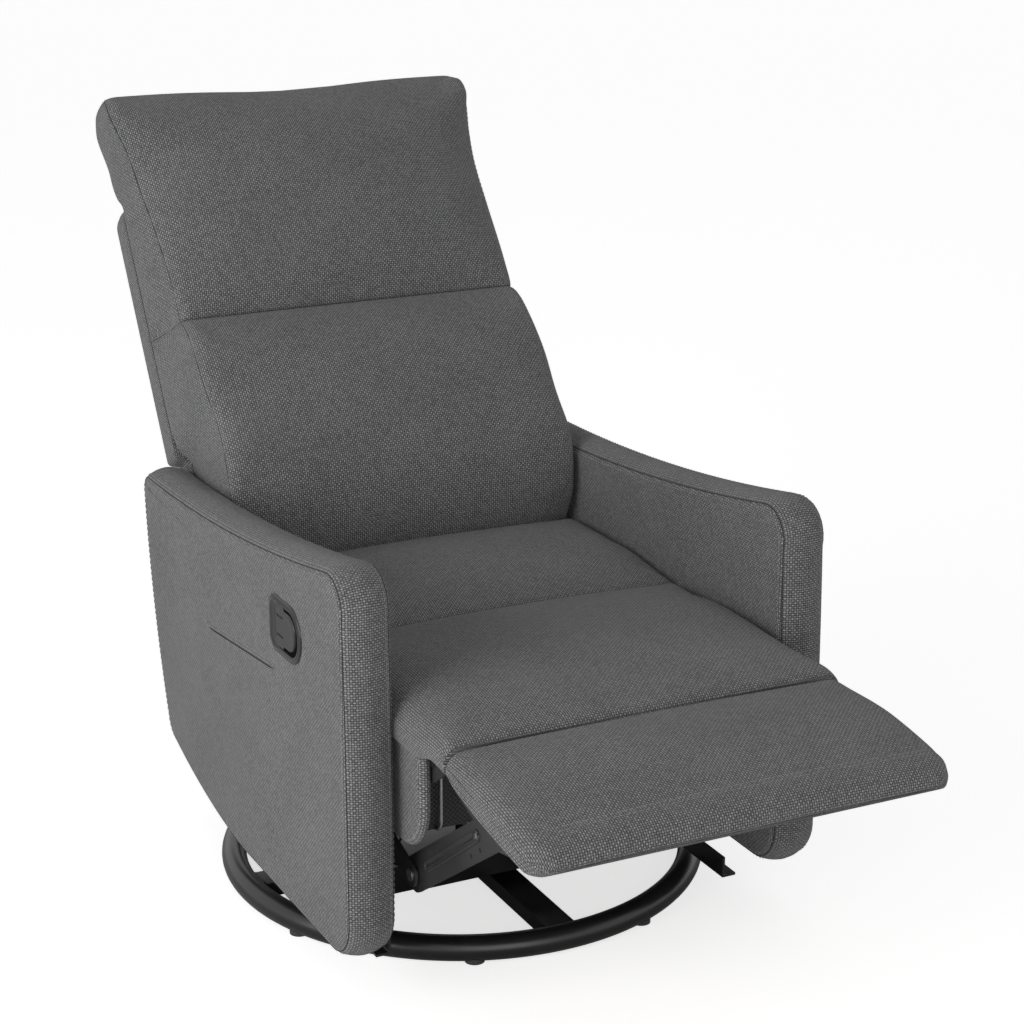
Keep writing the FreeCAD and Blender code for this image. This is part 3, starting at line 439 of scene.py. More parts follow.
def section_ring(top, corner, side):
    """Square corners (p) and outward directions (q) round a section, from the middle of the underside:
    a point is p times the half sizes less the radius, plus q times the radius."""
    quarter = np.linspace(0, np.pi/2, corner + 1)[1:-1]
    level, upright, bend = np.linspace(-1, 1, top + 1), np.linspace(-1, 1, side + 1), np.ones(corner - 1)
    blocks = [(level, 1 + 0*level, np.pi/2 + 0*level), (bend, bend, np.pi/2 - quarter),
              (1 + 0*upright, -upright, 0*upright), (bend, -bend, -quarter),
              (-level, -1 + 0*level, -np.pi/2 + 0*level), (-bend, -bend, -np.pi/2 - quarter),
              (-1 + 0*upright, upright, -np.pi + 0*upright), (-bend, bend, np.pi - quarter)]
    start = top + side + 2*corner + 1 + top//2
    across, up, angle = (np.roll(np.concatenate(part), -start) for part in zip(*blocks))
    return across, up, np.cos(angle), np.sin(angle)


def pad_grid(along, half, low, edge, crown, radius, flare=0.0, groove=0.0):
    """Points (x, along, up) of a pad, rows by columns: the section's half width, underside, rim and
    crown change from row to row; the arch adds (crown - edge)(1 - (x/half)^2) on the upper side.
    The sides stand out by flare times depth share squared, and dip by groove along the two side seams.
    The radius is at most 0.7 of the depth, and about a third as large at the lower edges."""
    p, r, q, s = (part[None, :] for part in RING)
    half, low, edge, crown, along = (np.asarray(measure, float)[:, None]
                                     for measure in (half, low, edge, crown, along))
    flare = np.asarray(flare, float).reshape(-1, 1)
    radius = np.minimum(radius, MOST_ROUND*(edge - low))
    middle, deep = (edge + low)/2, (edge - low)/2
    high = edge - radius
    radius = radius*np.where(r < 0, LOWER_EDGE, 1.0)
    x = p*(half - radius) + q*radius
    up = (1 + r)/2*high + (1 - r)/2*(low + radius) + s*radius
    share = np.clip((up - middle)/deep, 0, 1)
    up = up + share*(crown - edge)*(1 - (x/half)**2)
    x = x*(1 + flare/half*np.clip((edge - up)/(edge - low), 0, 1)**2)
    x[:, SEAMS] -= np.sign(x[:, SEAMS])*groove
    return np.stack([x, along + 0*x, up], -1)


def pad_map(grid):
    """UV of a pad in millimetres: round the section from the middle of the top, and along each line of
    points from the middle of the pad. The ends are mapped by x and height."""
    closed = closed_round(grid)
    turn = running(closed, 1)
    length = running(closed, 0)
    cloth = np.stack([turn - turn[:, [MIDDLE]], length - length[[len(grid)//2]]], -1)
    return cloth, (True, True), closed[..., [0, 2]]


def end_round(along, first, last, reach_first, reach_last):
    """How far the section has shrunk at each station, for the first and the last end: a quarter circle
    over the last reach of it, reach(1 - sqrt(1 - n^2)), n going from 0 to 1 at the end."""
    near_first = np.clip(1 - (along - first)/reach_first, 0, 1)
    near_last = np.clip(1 - (last - along)/reach_last, 0, 1)
    return reach_first*(1 - np.sqrt(1 - near_first**2)), reach_last*(1 - np.sqrt(1 - near_last**2))


TOP, CORNER, SIDE = 44, 6, 9
RING = section_ring(TOP, CORNER, SIDE)
FIRST = len(RING[0])//2 - TOP//2
MIDDLE, RIGHT_SEAM, LEFT_SEAM = FIRST + TOP//2, FIRST + TOP + CORNER, FIRST - CORNER
SEAMS = [RIGHT_SEAM, LEFT_SEAM]
# Columns that may be sewn down: the underside alone, or the underside and the lower part of the sides.
UNDER = np.flatnonzero(RING[1] + RING[3] < -1.2)
LOWER = np.flatnonzero(RING[1] + RING[3] < 0.4)
print("section ring of", len(RING[0]), "points, seams at", SEAMS)

# %% [markdown]
# ## Filling a cover
# A sewn cover is filled with foam that presses on it from inside. Blender's cloth does the same: the
# seams and the underside are held, a pressure pushes the rest out, and the cloth pulls small folds
# towards its seams. The grid itself is the cloth, so its map stays, and the move is capped in length.


# %% Filling
def fill_cover(piece, held, cap, widest):
    """Cloth with pressure over 20 frames; a point moves at most cap metres, and |x| stays under widest."""
    frames = 20
    mesh = piece.data
    before, after = np.empty((2, len(mesh.vertices)*3), np.float32)
    mesh.vertices.foreach_get("co", before)
    group = piece.vertex_groups.new(name="sewn")
    group.add(np.flatnonzero(held).tolist(), 1.0, "REPLACE")
    cloth = piece.modifiers.new("filling", "CLOTH")
    cloth.settings.vertex_group_mass = "sewn"
    cloth.settings.quality = 6
    cloth.settings.mass = 0.35
    cloth.settings.tension_stiffness = 18.0
    cloth.settings.compression_stiffness = 10.0
    cloth.settings.bending_stiffness = 0.8
    cloth.settings.use_pressure = True
    cloth.settings.uniform_pressure_force = 4.0
    cloth.settings.effector_weights.gravity = 0.0
    cloth.collision_settings.use_collision = False
    cloth.point_cache.frame_start = 1
    cloth.point_cache.frame_end = frames
    for tick in range(1, frames + 1):
        scene.frame_set(tick)
    blown = piece.evaluated_get(bpy.context.evaluated_depsgraph_get())
    blown.data.vertices.foreach_get("co", after)
    piece.modifiers.remove(cloth)
    piece.vertex_groups.remove(group)
    scene.frame_set(1)
    before = before.reshape(-1, 3)
    move = after.reshape(-1, 3) - before
    length = np.linalg.norm(move, axis=1, keepdims=True)
    after = before + move*np.minimum(1.0, cap/np.maximum(length, 1e-9))
    after[:, 0] = np.clip(after[:, 0], -widest, widest)
    mesh.vertices.foreach_set("co", after.ravel())
    mesh.update()
    print(piece.name, "filled: largest move", round(float(length.max())*1000, 1), "mm")


def soften(piece):
    """One round of subdivision, the same in the viewport and the render."""
    smoother = piece.modifiers.new("soften", "SUBSURF")
    smoother.levels = 1
    smoother.render_levels = 1


def held_points(grid, rows, columns):
    """Which points of a capped pad are held: whole rows, whole columns and the two end poles."""
    held = np.zeros(grid.shape[:2], bool)
    held[rows] = True
    held[:, columns] = True
    return np.append(held.ravel(), [True, True])


def end_rows(grid, first, last):
    """Which rows of a grid are among its first or last few."""
    number = np.arange(len(grid))
    return (number < first) | (number >= len(grid) - last)


def sew_pad(name, grid, place, body, hides, rows, columns, cap, widest):
    """A pad's grid, put in its place, as a cover that is filled and softened. The rows and
    columns named are sewn down and don't swell."""
    piece = add_piece(name, *tube_faces(place(grid), *pad_map(grid)), body, "weave", weave, hides)
    fill_cover(piece, held_points(grid, rows, columns), cap, widest)
    soften(piece)
    return piece



# %% [markdown]
# ## Seat cover
# The seat is one cushion from the back to the leg rest, with a crease across it where the cover is
# tied down. Its front end covers the leg rest's calf pad too, so this one cover runs over the leg
# rest's hinge.

# %% Seat cover
CREASE = -130.0


def stations(first, last, step, ends):
    """Places along a pad: even steps, closer together near both ends."""
    inner = np.arange(first + 2*ends, last - 2*ends + step/2, step)
    fine = ends*(1 - np.cos(np.linspace(0, np.pi/2, 6)))
    return np.unique(np.round(np.concatenate([first + fine, inner, last - fine]), 3))


def foot_place(grid):
    """Leg rest points (x, u, v) into the frame: u slopes 6.5 degrees down to the front from the hinge."""
    slope, hinge_y, hinge_z = math.radians(6.5), -455, 362
    c, s = math.cos(slope), math.sin(slope)
    x, u, v = np.moveaxis(grid, -1, 0)
    return np.stack([x, hinge_y + u*c - v*s, hinge_z + u*s + v*c], -1)


def seat_grid():
    """Seat from y = -517 to 166: half, low, edge and crown run through the cushion's stations. The crease
    is a dip of 8 mm exp(-((y + 130)/6)^2) across the top, and draws the sides in by 3 mm."""
    first, last = -517.0, 166.0
    fold = CREASE + np.array([-9.0, -4.0, 0.0, 4.0, 9.0])
    y = np.unique(np.append(stations(first, last, 11.0, 18.0), fold))
    half = smooth(y, [-517, -480, -435, -282, -130, 7, 166], [265, 263, 264, 265, 262, 264, 259])
    low = smooth(y, [-517, -470, -435, 166], [371, 372, 361, 360])
    edge = smooth(y, [-517, -490, -435, -282, -130, 7, 166], [406, 412, 410, 412, 406, 414, 413])
    crown = smooth(y, [-517, -492, -435, -282, -130, 7, 166], [408, 416, 416, 421, 413, 424, 420])
    shrink_front, shrink_rear = end_round(y, first, last, 12.0, 24.0)
    grid = pad_grid(y, half - 0.5*shrink_rear, low + 0.3*shrink_rear,
                    edge - 0.3*shrink_front - 0.7*shrink_rear,
                    crown - 0.6*shrink_front - shrink_rear, radius=19.0)
    rise = np.clip((grid[..., 2] - 385)/20, 0, 1)
    away = grid[..., 1] - CREASE
    grid[..., 2] -= rise*8*np.exp(-(away/6)**2)
    outer = np.abs(grid[..., 0]) > 200
    grid[..., 0] -= np.sign(grid[..., 0])*3*np.exp(-(away/10)**2)*outer
    return grid


seat = seat_grid()
creased = np.abs(seat[:, 0, 1] - CREASE) < 5
seat_cover = sew_pad("seat_cover", seat, lambda grid: grid, None, ["seat_cushion", "calf_pad"],
                     creased | end_rows(seat, 4, 4), UNDER, cap=0.024, widest=0.2655)
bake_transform(seat_cover)

# %% [markdown]
# ## Foot pad
# The leg rest ends in a thicker pad with a boxed edge: a band runs round its sides and front, and a
# double row of stitches crosses it behind the front edge. It is the same padded box, on the sloping
# frame of the leg rest.

# %% Foot pad
CHANNEL = -260.0


def foot_grid():
    """Pad from u = -301 to -61 on the leg rest: its front corners in plan are quarter circles of 34 mm, a
    stitched channel 2.5 mm deep crosses it at u = -260, and a lip 5 mm deep hangs along both sides, with
    a groove of 2.2 mm exp(-((v - 20)/2)^2) over it."""
    first, last = -301.0, -61.0
    u = stations(first, last, 8.0, 14.0)
    half = smooth(u, [-301, -265, -170, -61], [268, 271, 270, 264])
    edge = smooth(u, [-301, -265, -170, -61], [43, 49, 54, 47])
    crown = smooth(u, [-301, -265, -170, -61], [51, 57, 64, 51])
    shrink_front, shrink_rear = end_round(u, first, last, 24.0, 8.0)
    corner = end_round(u, first, last, 34.0, 1.0)[0]
    grid = pad_grid(u, half - corner, 15.3 + 0.5*shrink_front,
                    edge - 0.75*shrink_front - 0.3*shrink_rear,
                    crown - shrink_front - 0.6*shrink_rear, radius=20.0)
    rise = np.clip((grid[..., 2] - 34)/8, 0, 1)
    grid[..., 2] -= rise*2.5*np.exp(-((grid[..., 1] - CHANNEL)/3.5)**2)
    out = np.clip((np.abs(grid[..., 0]) - 240)/10, 0, 1)*np.clip((grid[..., 1] + 293)/12, 0, 1)
    out = out*np.clip((-70 - grid[..., 1])/6, 0, 1)
    grid[..., 2] -= 5*out*np.clip((27 - grid[..., 2])/9, 0, 1)
    lip = out*np.exp(-((grid[..., 2] - 20)/2.0)**2)*(np.abs(RING[2])[None] > 0.9)
    grid[..., 0] -= np.sign(grid[..., 0])*2.2*lip
    return grid


foot = foot_grid()
channelled = np.abs(foot[:, 0, 1] - CHANNEL) < 4.5
foot_cover = sew_pad("foot_cover", foot, foot_place, "footrest", ["foot_pad"],
                     channelled | end_rows(foot, 5, 3), LOWER, cap=0.022, widest=0.281)

# %% [markdown]
# ## Back cushions
# The back leans 31.5 degrees. Its lumbar cushion swells most low down, and the headrest rolls over
# the top of the outside back. Both are padded boxes again, standing on the leaning frame of the back.

# %% Back cushions
SEAM_DIP = 1.5


def back_place(grid):
    """Back points (x, v, h) into the frame: v runs up the leaning back, h forward from its board."""
    lean, foot_y, foot_z = math.radians(31.5), 175, 377
    c, s = math.cos(lean), math.sin(lean)
    x, v, h = np.moveaxis(grid, -1, 0)
    return np.stack([x, foot_y + v*s - h*c, foot_z + v*c + h*s], -1)


def lumbar_grid():
    """Lumbar cushion from v = -12 to 381: nearly flat in front, tucked in behind the seat, sides
    standing out to the outside back."""
    first, last, rear = -12.0, 381.0, -66.0
    v = stations(first, last, 10.0, 14.0)
    half = smooth(v, [-12, 15, 62, 120, 205, 274, 353, 381], [257, 258, 260, 262, 258, 261, 259, 258])
    swell = [-12, 0, 15, 30, 62, 144, 224, 274, 353, 381]
    edge = smooth(v, swell, [-5, 0, 6, 24, 60, 88, 80, 70, 46, 26])
    crown = smooth(v, swell, [-3, 3, 11, 32, 72, 100, 94, 84, 54, 30])
    flare = smooth(v, [-12, 198, 216, 256, 381], [0, 0, 17, 21, 24])
    shrink = sum(end_round(v, first, last, 6.0, 12.0))
    corner = end_round(v, first, last, 10.0, 1.0)[0]
    return pad_grid(v, half - 0.7*corner, rear + 0*v, edge - 0.8*shrink, crown - shrink, radius=16.0,
                    flare=flare, groove=SEAM_DIP)


def head_grid():
    """Headrest from v = 380 to 750: its rear side stands at the outside back and rolls over the top of it.
    The upper edge dips by up to 9 mm exp(-(x/120)^2) in the middle."""
    first, last = 380.0, 750.0
    v = stations(first, last, 10.0, 20.0)
    half = smooth(v, [380, 424, 526, 642, 718, 750], [258, 258, 261, 270, 284, 282])
    edge = smooth(v, [380, 424, 526, 600, 642, 718, 750], [24, 23, 8, -6, -8, -14, -38])
    crown = smooth(v, [380, 424, 526, 642, 718, 750], [28, 47, 52, 27, -4, -32])
    low = smooth(v, [380, 585, 603, 640, 700, 750], [-66, -66, -84, -98, -97, -80])
    flare = smooth(v, [380, 526, 600, 660, 750], [24, 21, 14, 6, 0])
    shrink_low, shrink_high = end_round(v, first, last, 14.0, 24.0)
    shrink = shrink_low + shrink_high
    grid = pad_grid(v, half - 0.6*shrink_high, low + 0.4*shrink_high, edge - 0.8*shrink, crown - shrink,
                    radius=16.0, flare=flare, groove=SEAM_DIP)
    grid[..., 1] -= 9*np.clip((grid[..., 1] - 560)/185, 0, 1)**2*np.exp(-(grid[..., 0]/120)**2)
    return grid


sewn_columns = np.append(UNDER, SEAMS)
lumbar, head = lumbar_grid(), head_grid()
lumbar_cover = sew_pad("lumbar_cover", lumbar, back_place, "back", ["lumbar_cushion"],
                       end_rows(lumbar, 3, 3), sewn_columns, cap=0.024, widest=0.279)
head_cover = sew_pad("head_cover", head, back_place, "back", ["headrest_cushion"],
                     end_rows(head, 3, 3), sewn_columns, cap=0.024, widest=0.291)

# %% [markdown]
# ## Arms
# Each arm is a padded slab: a flat panel inside and out, joined by a band that runs all round its
# edge. The outline is drawn from arcs through three points, as the cutting template is.


# %% Arm outline
def arc(first, middle, last, count):
    """Points on the circle through three points, from first up to but not including last."""
    (ax, ay), (bx, by), (cx, cy) = first, middle, last
    d = 2*(ax*(by - cy) + bx*(cy - ay) + cx*(ay - by))
    ox = ((ax*ax + ay*ay)*(by - cy) + (bx*bx + by*by)*(cy - ay) + (cx*cx + cy*cy)*(ay - by))/d
    oy = ((ax*ax + ay*ay)*(cx - bx) + (bx*bx + by*by)*(ax - cx) + (cx*cx + cy*cy)*(bx - ax))/d
    a0, a1, a2 = (math.atan2(py - oy, px - ox) for px, py in (first, middle, last))
    turn = (a2 - a0) % (2*math.pi)
    if (a1 - a0) % (2*math.pi) > turn:
        turn -= 2*math.pi
    angle = a0 + turn*np.arange(count)/count
    radius = math.hypot(ax - ox, ay - oy)
    return np.stack([ox + radius*np.cos(angle), oy + radius*np.sin(angle)], -1)


def arm_outline(inset):
    """Arm outline (y, z) drawn in by inset: long dished top, round front, foot, rising rear."""
    front, rear, top, dip, foot, skew = -385, 349, 576, 514, 72, 0.7*inset
    top_rear, top_front = (rear - 34, dip - inset), (front + 58, top - inset)
    front_high, front_low = (front + inset, top - 61), (front - 3 + inset, foot + 68)
    sole_front, sole_rear = (front + 60, foot + inset), (-20, foot + inset)
    heel_low, heel_high = (rear - 100 - inset/2, foot + 56 + 0.85*inset), (rear - 64 - inset, foot + 96)
    rear_high = (rear - inset, dip - 32)
    return np.concatenate([
        arc(top_rear, (0, 0.74*dip + 0.26*top - inset), top_front, 40),
        arc(top_front, (front + 15 + skew, top - 13 - skew), front_high, 10),
        arc(front_high, (front - 4 + inset, (top + foot)/2), front_low, 24),
        arc(front_low, (front + 14 + skew, foot + 20 + skew), sole_front, 10),
        np.linspace(sole_front, sole_rear, 20, endpoint=False),
        arc(sole_rear, (115, foot + 18 + inset), heel_low, 18),
        arc(heel_low, (rear - 77 - skew, foot + 69 + skew), heel_high, 7),
        arc(heel_high, (rear - 22 - inset, (dip + foot)/2 + 25), rear_high, 20),
        arc(rear_high, (rear - 8 - skew, dip - 8 - skew), top_rear, 7)])


rim, brow = arm_outline(10.0), arm_outline(0.0)
print("arm outline of", len(rim), "points")

# %% [markdown]
# The slab is a set of rings round that outline: from a small ring on the outer panel, out to the
# seam, over the band and in to the middle of the inner panel. On the right arm the first ring is the
# opening for the release handle.

# %% Arm covers
SPREAD_ROWS, SEAM_ROWS, BAND_ROWS = 11, 6, 15
ARM_IN, ARM_OUT, PUFF_IN, PUFF_OUT = 268.0, 328.0, 2.2, 1.6
HANDLE = np.array([-203.0, 453.0])


def outward(loop):
    """Unit directions pointing out of a closed loop of (y, z) points."""
    along = np.roll(loop, -1, 0) - np.roll(loop, 1, 0)
    normal = unit(np.stack([along[:, 1], -along[:, 0]], -1))
    return normal*np.sign(np.sum(normal*(loop - loop.mean(0)), 1).mean())


def shrunk(loop, share, heart):
    """A loop drawn together towards heart, to share of its size."""
    return heart + (loop - heart)*share


def handle_ring(loop):
    """Opening for the handle cup on the rays from its middle to the loop: |y/a|^n + |z/b|^n = 1, with n
    of 3 to the front and 4 to the rear."""
    half_long, half_high = 47.5, 33.5
    ray = unit(loop - HANDLE)
    power = np.where(ray[:, 0] < 0, 3.0, 4.0)
    reach = ((np.abs(ray[:, 0])/half_long)**power + (np.abs(ray[:, 1])/half_high)**power)**(-1/power)
    return HANDLE + ray*reach[:, None]


def slab_rings(outer_ring, edge, mid, face_in, face_out, puff_in, puff_out, margin=16.0):
    """Rings of a slab between two faces, and the x of each. The panels blend from the ring in their middle
    to the seam, where they dip; the band arches from edge to mid as 1 - ((x - centre)/half)^2."""
    normal = outward(edge)
    centre, half = (face_in + face_out)/2, (face_out - face_in)/2
    inner_ring = shrunk(edge, 0.02, edge.mean(0))
    depth = np.array([16.0, 10.0, 6.5, 4.0, 2.4, 1.2])*margin/16.0
    lift = np.array([1.0, 0.95, 0.8, 0.5, 0.0, -0.5])
    seam = edge[None] - normal[None]*depth[:, None, None]
    share = np.linspace(0, 1, SPREAD_ROWS + 1)[:-1, None, None]
    spread = outer_ring[None]*(1 - share) + seam[:1]*share
    band = np.array([1.6, 3.4, 6.0, 10.0, 15.0, 21.0, 27.0])/30.0*half
    band = np.concatenate([half - band, [0.0], band[::-1] - half])
    sink = np.interp(np.abs(band), [0.6*half, 0.86*half, 0.95*half], [0.0, 0.0, 0.9])
    swell = (1 - (band/half)**2)[:, None, None]
    across = edge[None] + (mid - edge)[None]*swell - normal[None]*sink[:, None, None]
    back_share = share[::-1]
    inner = inner_ring[None]*(1 - back_share) + seam[:1]*back_share
    loops = np.concatenate([spread, seam, across, seam[::-1], inner])
    x = np.concatenate([np.full(SPREAD_ROWS, face_out + puff_out), face_out + puff_out*lift, centre + band,
                        face_in - puff_in*lift[::-1], np.full(SPREAD_ROWS, face_in - puff_in)])
    return loops, x


def slab_piece(name, rings, place, open_first, **facts):
    """Slab rings into a piece, by way of place(depth, a, b). The panels are mapped by the loop's own two
    coordinates, the band by the length round it and the depth."""
    loops, x = rings
    rows, columns = loops.shape[:2]
    seam_out = SPREAD_ROWS + SEAM_ROWS
    seam_in = seam_out + BAND_ROWS
    grid = np.concatenate([np.broadcast_to(x[:, None, None], (rows, columns, 1)), loops], -1)
    closed = closed_round(grid)
    flat = closed[..., 1:]
    round_it = np.stack([running(closed[rows//2][None], 1)[0] + 0*closed[..., 0], closed[..., 0]], -1)
    grid = place(*np.moveaxis(grid, -1, 0))
    points, faces, corners = tube_faces(grid, flat, (not open_first, True))
    _, _, wrapped = tube_faces(grid, round_it, (not open_first, True))
    strip = np.repeat(np.arange(rows - 1), columns*4)
    on_band = np.zeros(len(corners), bool)
    on_band[:len(strip)] = (strip >= seam_out - 1) & (strip < seam_in)
    return add_piece(name, points, faces, np.where(on_band[:, None], wrapped, corners), **facts)


on_left = lambda depth, y, z: np.stack([depth, y, z], -1)
on_right = lambda depth, y, z: np.stack([-depth, y, z], -1)
opening = handle_ring(rim)
for side, place, ring in (("left", on_left, shrunk(opening, 0.05, HANDLE)), ("right", on_right, opening)):
    rings = slab_rings(ring, rim, brow, ARM_IN, ARM_OUT, PUFF_IN, PUFF_OUT)
    cover = slab_piece("arm_cover_" + side, rings, place, side == "right", body="chassis",
                       slot="weave", finish=weave, hides=["arm_pad_" + side])

# %% [markdown]
# ## Outside back and seat sides
# These are boards wrapped in the same cloth over a thin layer of wadding. Their outlines are
# polygons with rounded corners, so one helper draws the loop and the arm's slab does the rest.


# %% Rounded loops
def rounded_loop(corners, radii, per_corner=8, per_edge=8):
    """Polygon with a circle of its own radius in each corner. The arc is the rational curve
    ((1-s)^2 A + 2 w s (1-s) C + s^2 B)/((1-s)^2 + 2 w s (1-s) + s^2), w the sine of half
    the inner angle."""
    corner, radius = np.asarray(corners, float), np.asarray(radii, float)[:, None]
    back = unit(np.roll(corner, 1, 0) - corner)
    ahead = unit(np.roll(corner, -1, 0) - corner)
    inside = np.arccos(np.clip(np.sum(back*ahead, 1), -1, 1))[:, None]
    first, last = corner + back*radius/np.tan(inside/2), corner + ahead*radius/np.tan(inside/2)
    s = np.linspace(0, 1, per_corner)[None, :, None]
    w = np.sin(inside/2)[:, :, None]
    top = (1 - s)**2*first[:, None] + 2*w*s*(1 - s)*corner[:, None] + s**2*last[:, None]
    turn = top/((1 - s)**2 + 2*w*s*(1 - s) + s**2)
    t = np.linspace(0, 1, per_edge + 2)[1:-1][None, :, None]
    edge = last[:, None]*(1 - t) + np.roll(first, -1, 0)[:, None]*t
    return np.concatenate([turn, edge], 1).reshape(-1, 2)


def drawn_in(loop, inset):
    """A loop moved in by inset along its own normals."""
    return loop - outward(loop)*inset


shell = rounded_loop([(-261, -40), (261, -40), (261, 202), (282, 208), (282, 594), (-282, 594),
                      (-282, 208), (-261, 202)], [40, 40, 8, 9, 30, 30, 9, 8])
middle = shrunk(drawn_in(shell, 5), 0.02, shell.mean(0))
on_back = lambda depth, x, v: back_place(np.stack([x, v, -depth], -1))
rings = slab_rings(middle, drawn_in(shell, 2), shell, face_in=66.5, face_out=109.0, puff_in=0.0,
                   puff_out=1.5, margin=6.0)
outside_back = slab_piece("outside_back", rings, on_back, False, body="back", slot="weave", finish=weave,
                          hides=["back_shell"])

# %% Seat side panels
skirt = rounded_loop([(-437, 228), (137, 230), (137, 374), (-437, 374)], [66, 40, 26, 26],
                     per_corner=10, per_edge=14)
middle = shrunk(drawn_in(skirt, 3), 0.02, skirt.mean(0))
rings = slab_rings(middle, drawn_in(skirt, 7.0), skirt, face_in=242.3, face_out=257.0, puff_in=0.0,
                   puff_out=1.0, margin=10.0)
for side, place in (("left", on_left), ("right", on_right)):
    panel = slab_piece("seat_side_" + side, rings, place, False, body="seat", slot="weave", finish=weave,
                       hides=["seat_panel_" + side])

# %% [markdown]
# ## Release handle
# A gloss black plate with a rounded front is let into the right arm. Behind it is a cup for the
# fingers, and in it a paddle on an upright pin, with two short slots. Each is a stack of one loop,
# drawn in step by step, as a moulder would read its section.


# %% Handle plate and paddle
def stacked_loops(name, loops, depths, close_first, **facts):
    """Loops at depths into a piece, closed by a fan at the last loop, and at the first one if asked."""
    grid = np.stack([np.concatenate([np.full((len(loop), 1), depth), loop], 1)
                     for loop, depth in zip(loops, depths)])
    return add_piece(name, *tube_faces(grid, closed_round(grid)[..., 1:], (close_first, True)), **facts)


def plate_loop(inset, rear):
    """Handle plate outline drawn in by inset, ending at rear: large rounds to the front, small ones to
    the rear."""
    low, high, front, back = 416 + inset, 490 - inset, -254.5 + inset, rear - inset
    large, small = max(35 - inset, 4), max(18.5 - 0.5*inset, 4)
    return rounded_loop([(front, low), (back, low), (back, high), (front, high)],
                        [large, small, small, large], 12)


PLATE_REAR = -151.5
plate_steps = [(0.0, PLATE_REAR, -327.6), (0.0, PLATE_REAR, -330.8), (0.6, PLATE_REAR, -331.7),
               (1.8, PLATE_REAR, -332.0), (4.6, PLATE_REAR, -332.0), (5.6, PLATE_REAR, -332.7),
               (6.8, PLATE_REAR, -332.8), (7.7, PLATE_REAR, -332.2), (8.1, -162.5, -332.1),
               (8.2, -163.6, -332.0), (8.5, -164.0, -331.4), (8.7, -164.0, -329.0), (9.2, -164.0, -303.6)]
stacked_loops("handle_plate", [plate_loop(inset, rear) for inset, rear, _ in plate_steps],
              [depth for _, _, depth in plate_steps], False, body="chassis", slot="black_plastic",
              finish=moulding, hides=["handle_bezel"])
paddle = rounded_loop([(-236, 429.5), (-199, 429.5), (-197, 425.2), (-164.5, 425.2), (-164.5, 480.8),
                       (-197, 480.8), (-199, 476.5), (-236, 476.5)], [21, 2, 2, 3, 3, 2, 2, 21])
heart = np.array([-200.0, 453.0])
paddle_loops = [drawn_in(paddle, inset) for inset in (1.0, 0.0, 0.0, 0.4, 1.0, 1.8)]
paddle_loops += [shrunk(paddle, share, heart) for share in (0.8, 0.4)]
paddle_depths = [-321.5, -322.4, -330.0, -331.1, -331.6, -331.8, -331.6, -331.5]
stacked_loops("handle_paddle", paddle_loops, paddle_depths, True, body="lever", slot="black_plastic",
              finish=moulding, hides=["handle_lever"])
# The two slots are thin near-black pieces just under the paddle face: painted shade in the slots.
for number, height in enumerate((441.0, 466.0)):
    groove = rounded_loop([(-197, height - 1.0), (-176, height - 1.0), (-176, height + 1.0),
                           (-197, height + 1.0)], [0.9]*4, 4, 2)
    stacked_loops("handle_slot_%d" % number, [groove, groove, drawn_in(groove, 0.4)],
                  [-331.2, -331.9, -332.0], False, body="lever", slot="black_cloth", finish=painted_hollow_shade)

# %% [markdown]
# ## Side pocket
# The outer panel of the right arm is slit for a flat pocket. What shows is a thin dark line between
# two slightly raised lips of cloth, so a short profile is carried along the slit, with a near-black
# strip in the slit as painted shade.


# %% Pocket mouth
def strip_piece(name, path, profile, out, body, slot, finish):
    """Profile of (offset, lift) points carried along a straight or curved path (n, 3): the offset runs
    square to the path in the surface, and the lift runs along out. Both fade over 3 points at each end."""
    along = unit(np.gradient(path, axis=0))
    square = np.cross(np.broadcast_to(out, along.shape), along)
    offset, lift = np.asarray(profile, float).T
    number = np.arange(len(path))
    fade = np.clip(np.minimum(number, number[::-1])/3.0, 0.12, 1.0)[:, None, None]
    grid = (path[:, None] + fade*(square[:, None]*offset[None, :, None]
                                  + np.asarray(out, float)*lift[None, :, None]))
    cloth = np.stack([running(grid, 0), np.broadcast_to(offset, grid.shape[:2])], -1)
    return add_piece(name, *grid_faces(grid, cloth), body, slot, finish)


slit = np.linspace((-329.55, 90.0, 361.5), (-329.55, -165.0, 387.5), 40)
lips = [(-9, -0.3), (-6, 0.4), (-3.4, 1.0), (-1.8, 0.9), (-1.1, 0.1), (1.1, 0.1), (1.8, 1.3), (3.4, 1.5),
        (6, 0.7), (9, -0.3)]
gap = [(-1.9, 0.2), (-1.1, 0.6), (1.1, 0.6), (1.9, 0.2)]
OUT = (-1.0, 0.0, 0.0)
strip_piece("pocket_lips", slit, lips, OUT, "chassis", "weave", weave)
# The gap strip is near-black: painted shade inside the slit.
strip_piece("pocket_gap", slit[1:-1], gap, OUT, "chassis", "black_cloth", painted_hollow_shade)

# %% [markdown]
# ## Stitching
# Heavy thread runs on both sides of the arm seams, down the front edges of the back and across the
# foot pad. A dashed line in the finish would look flat from close by, so each stitch is a small bead
# of six sides. One helper lays a whole row as arrays, and the rows of a cover make one mesh.

# %% Stitch helper
BEAD_RINGS, BEAD_SIDES = 4, 6


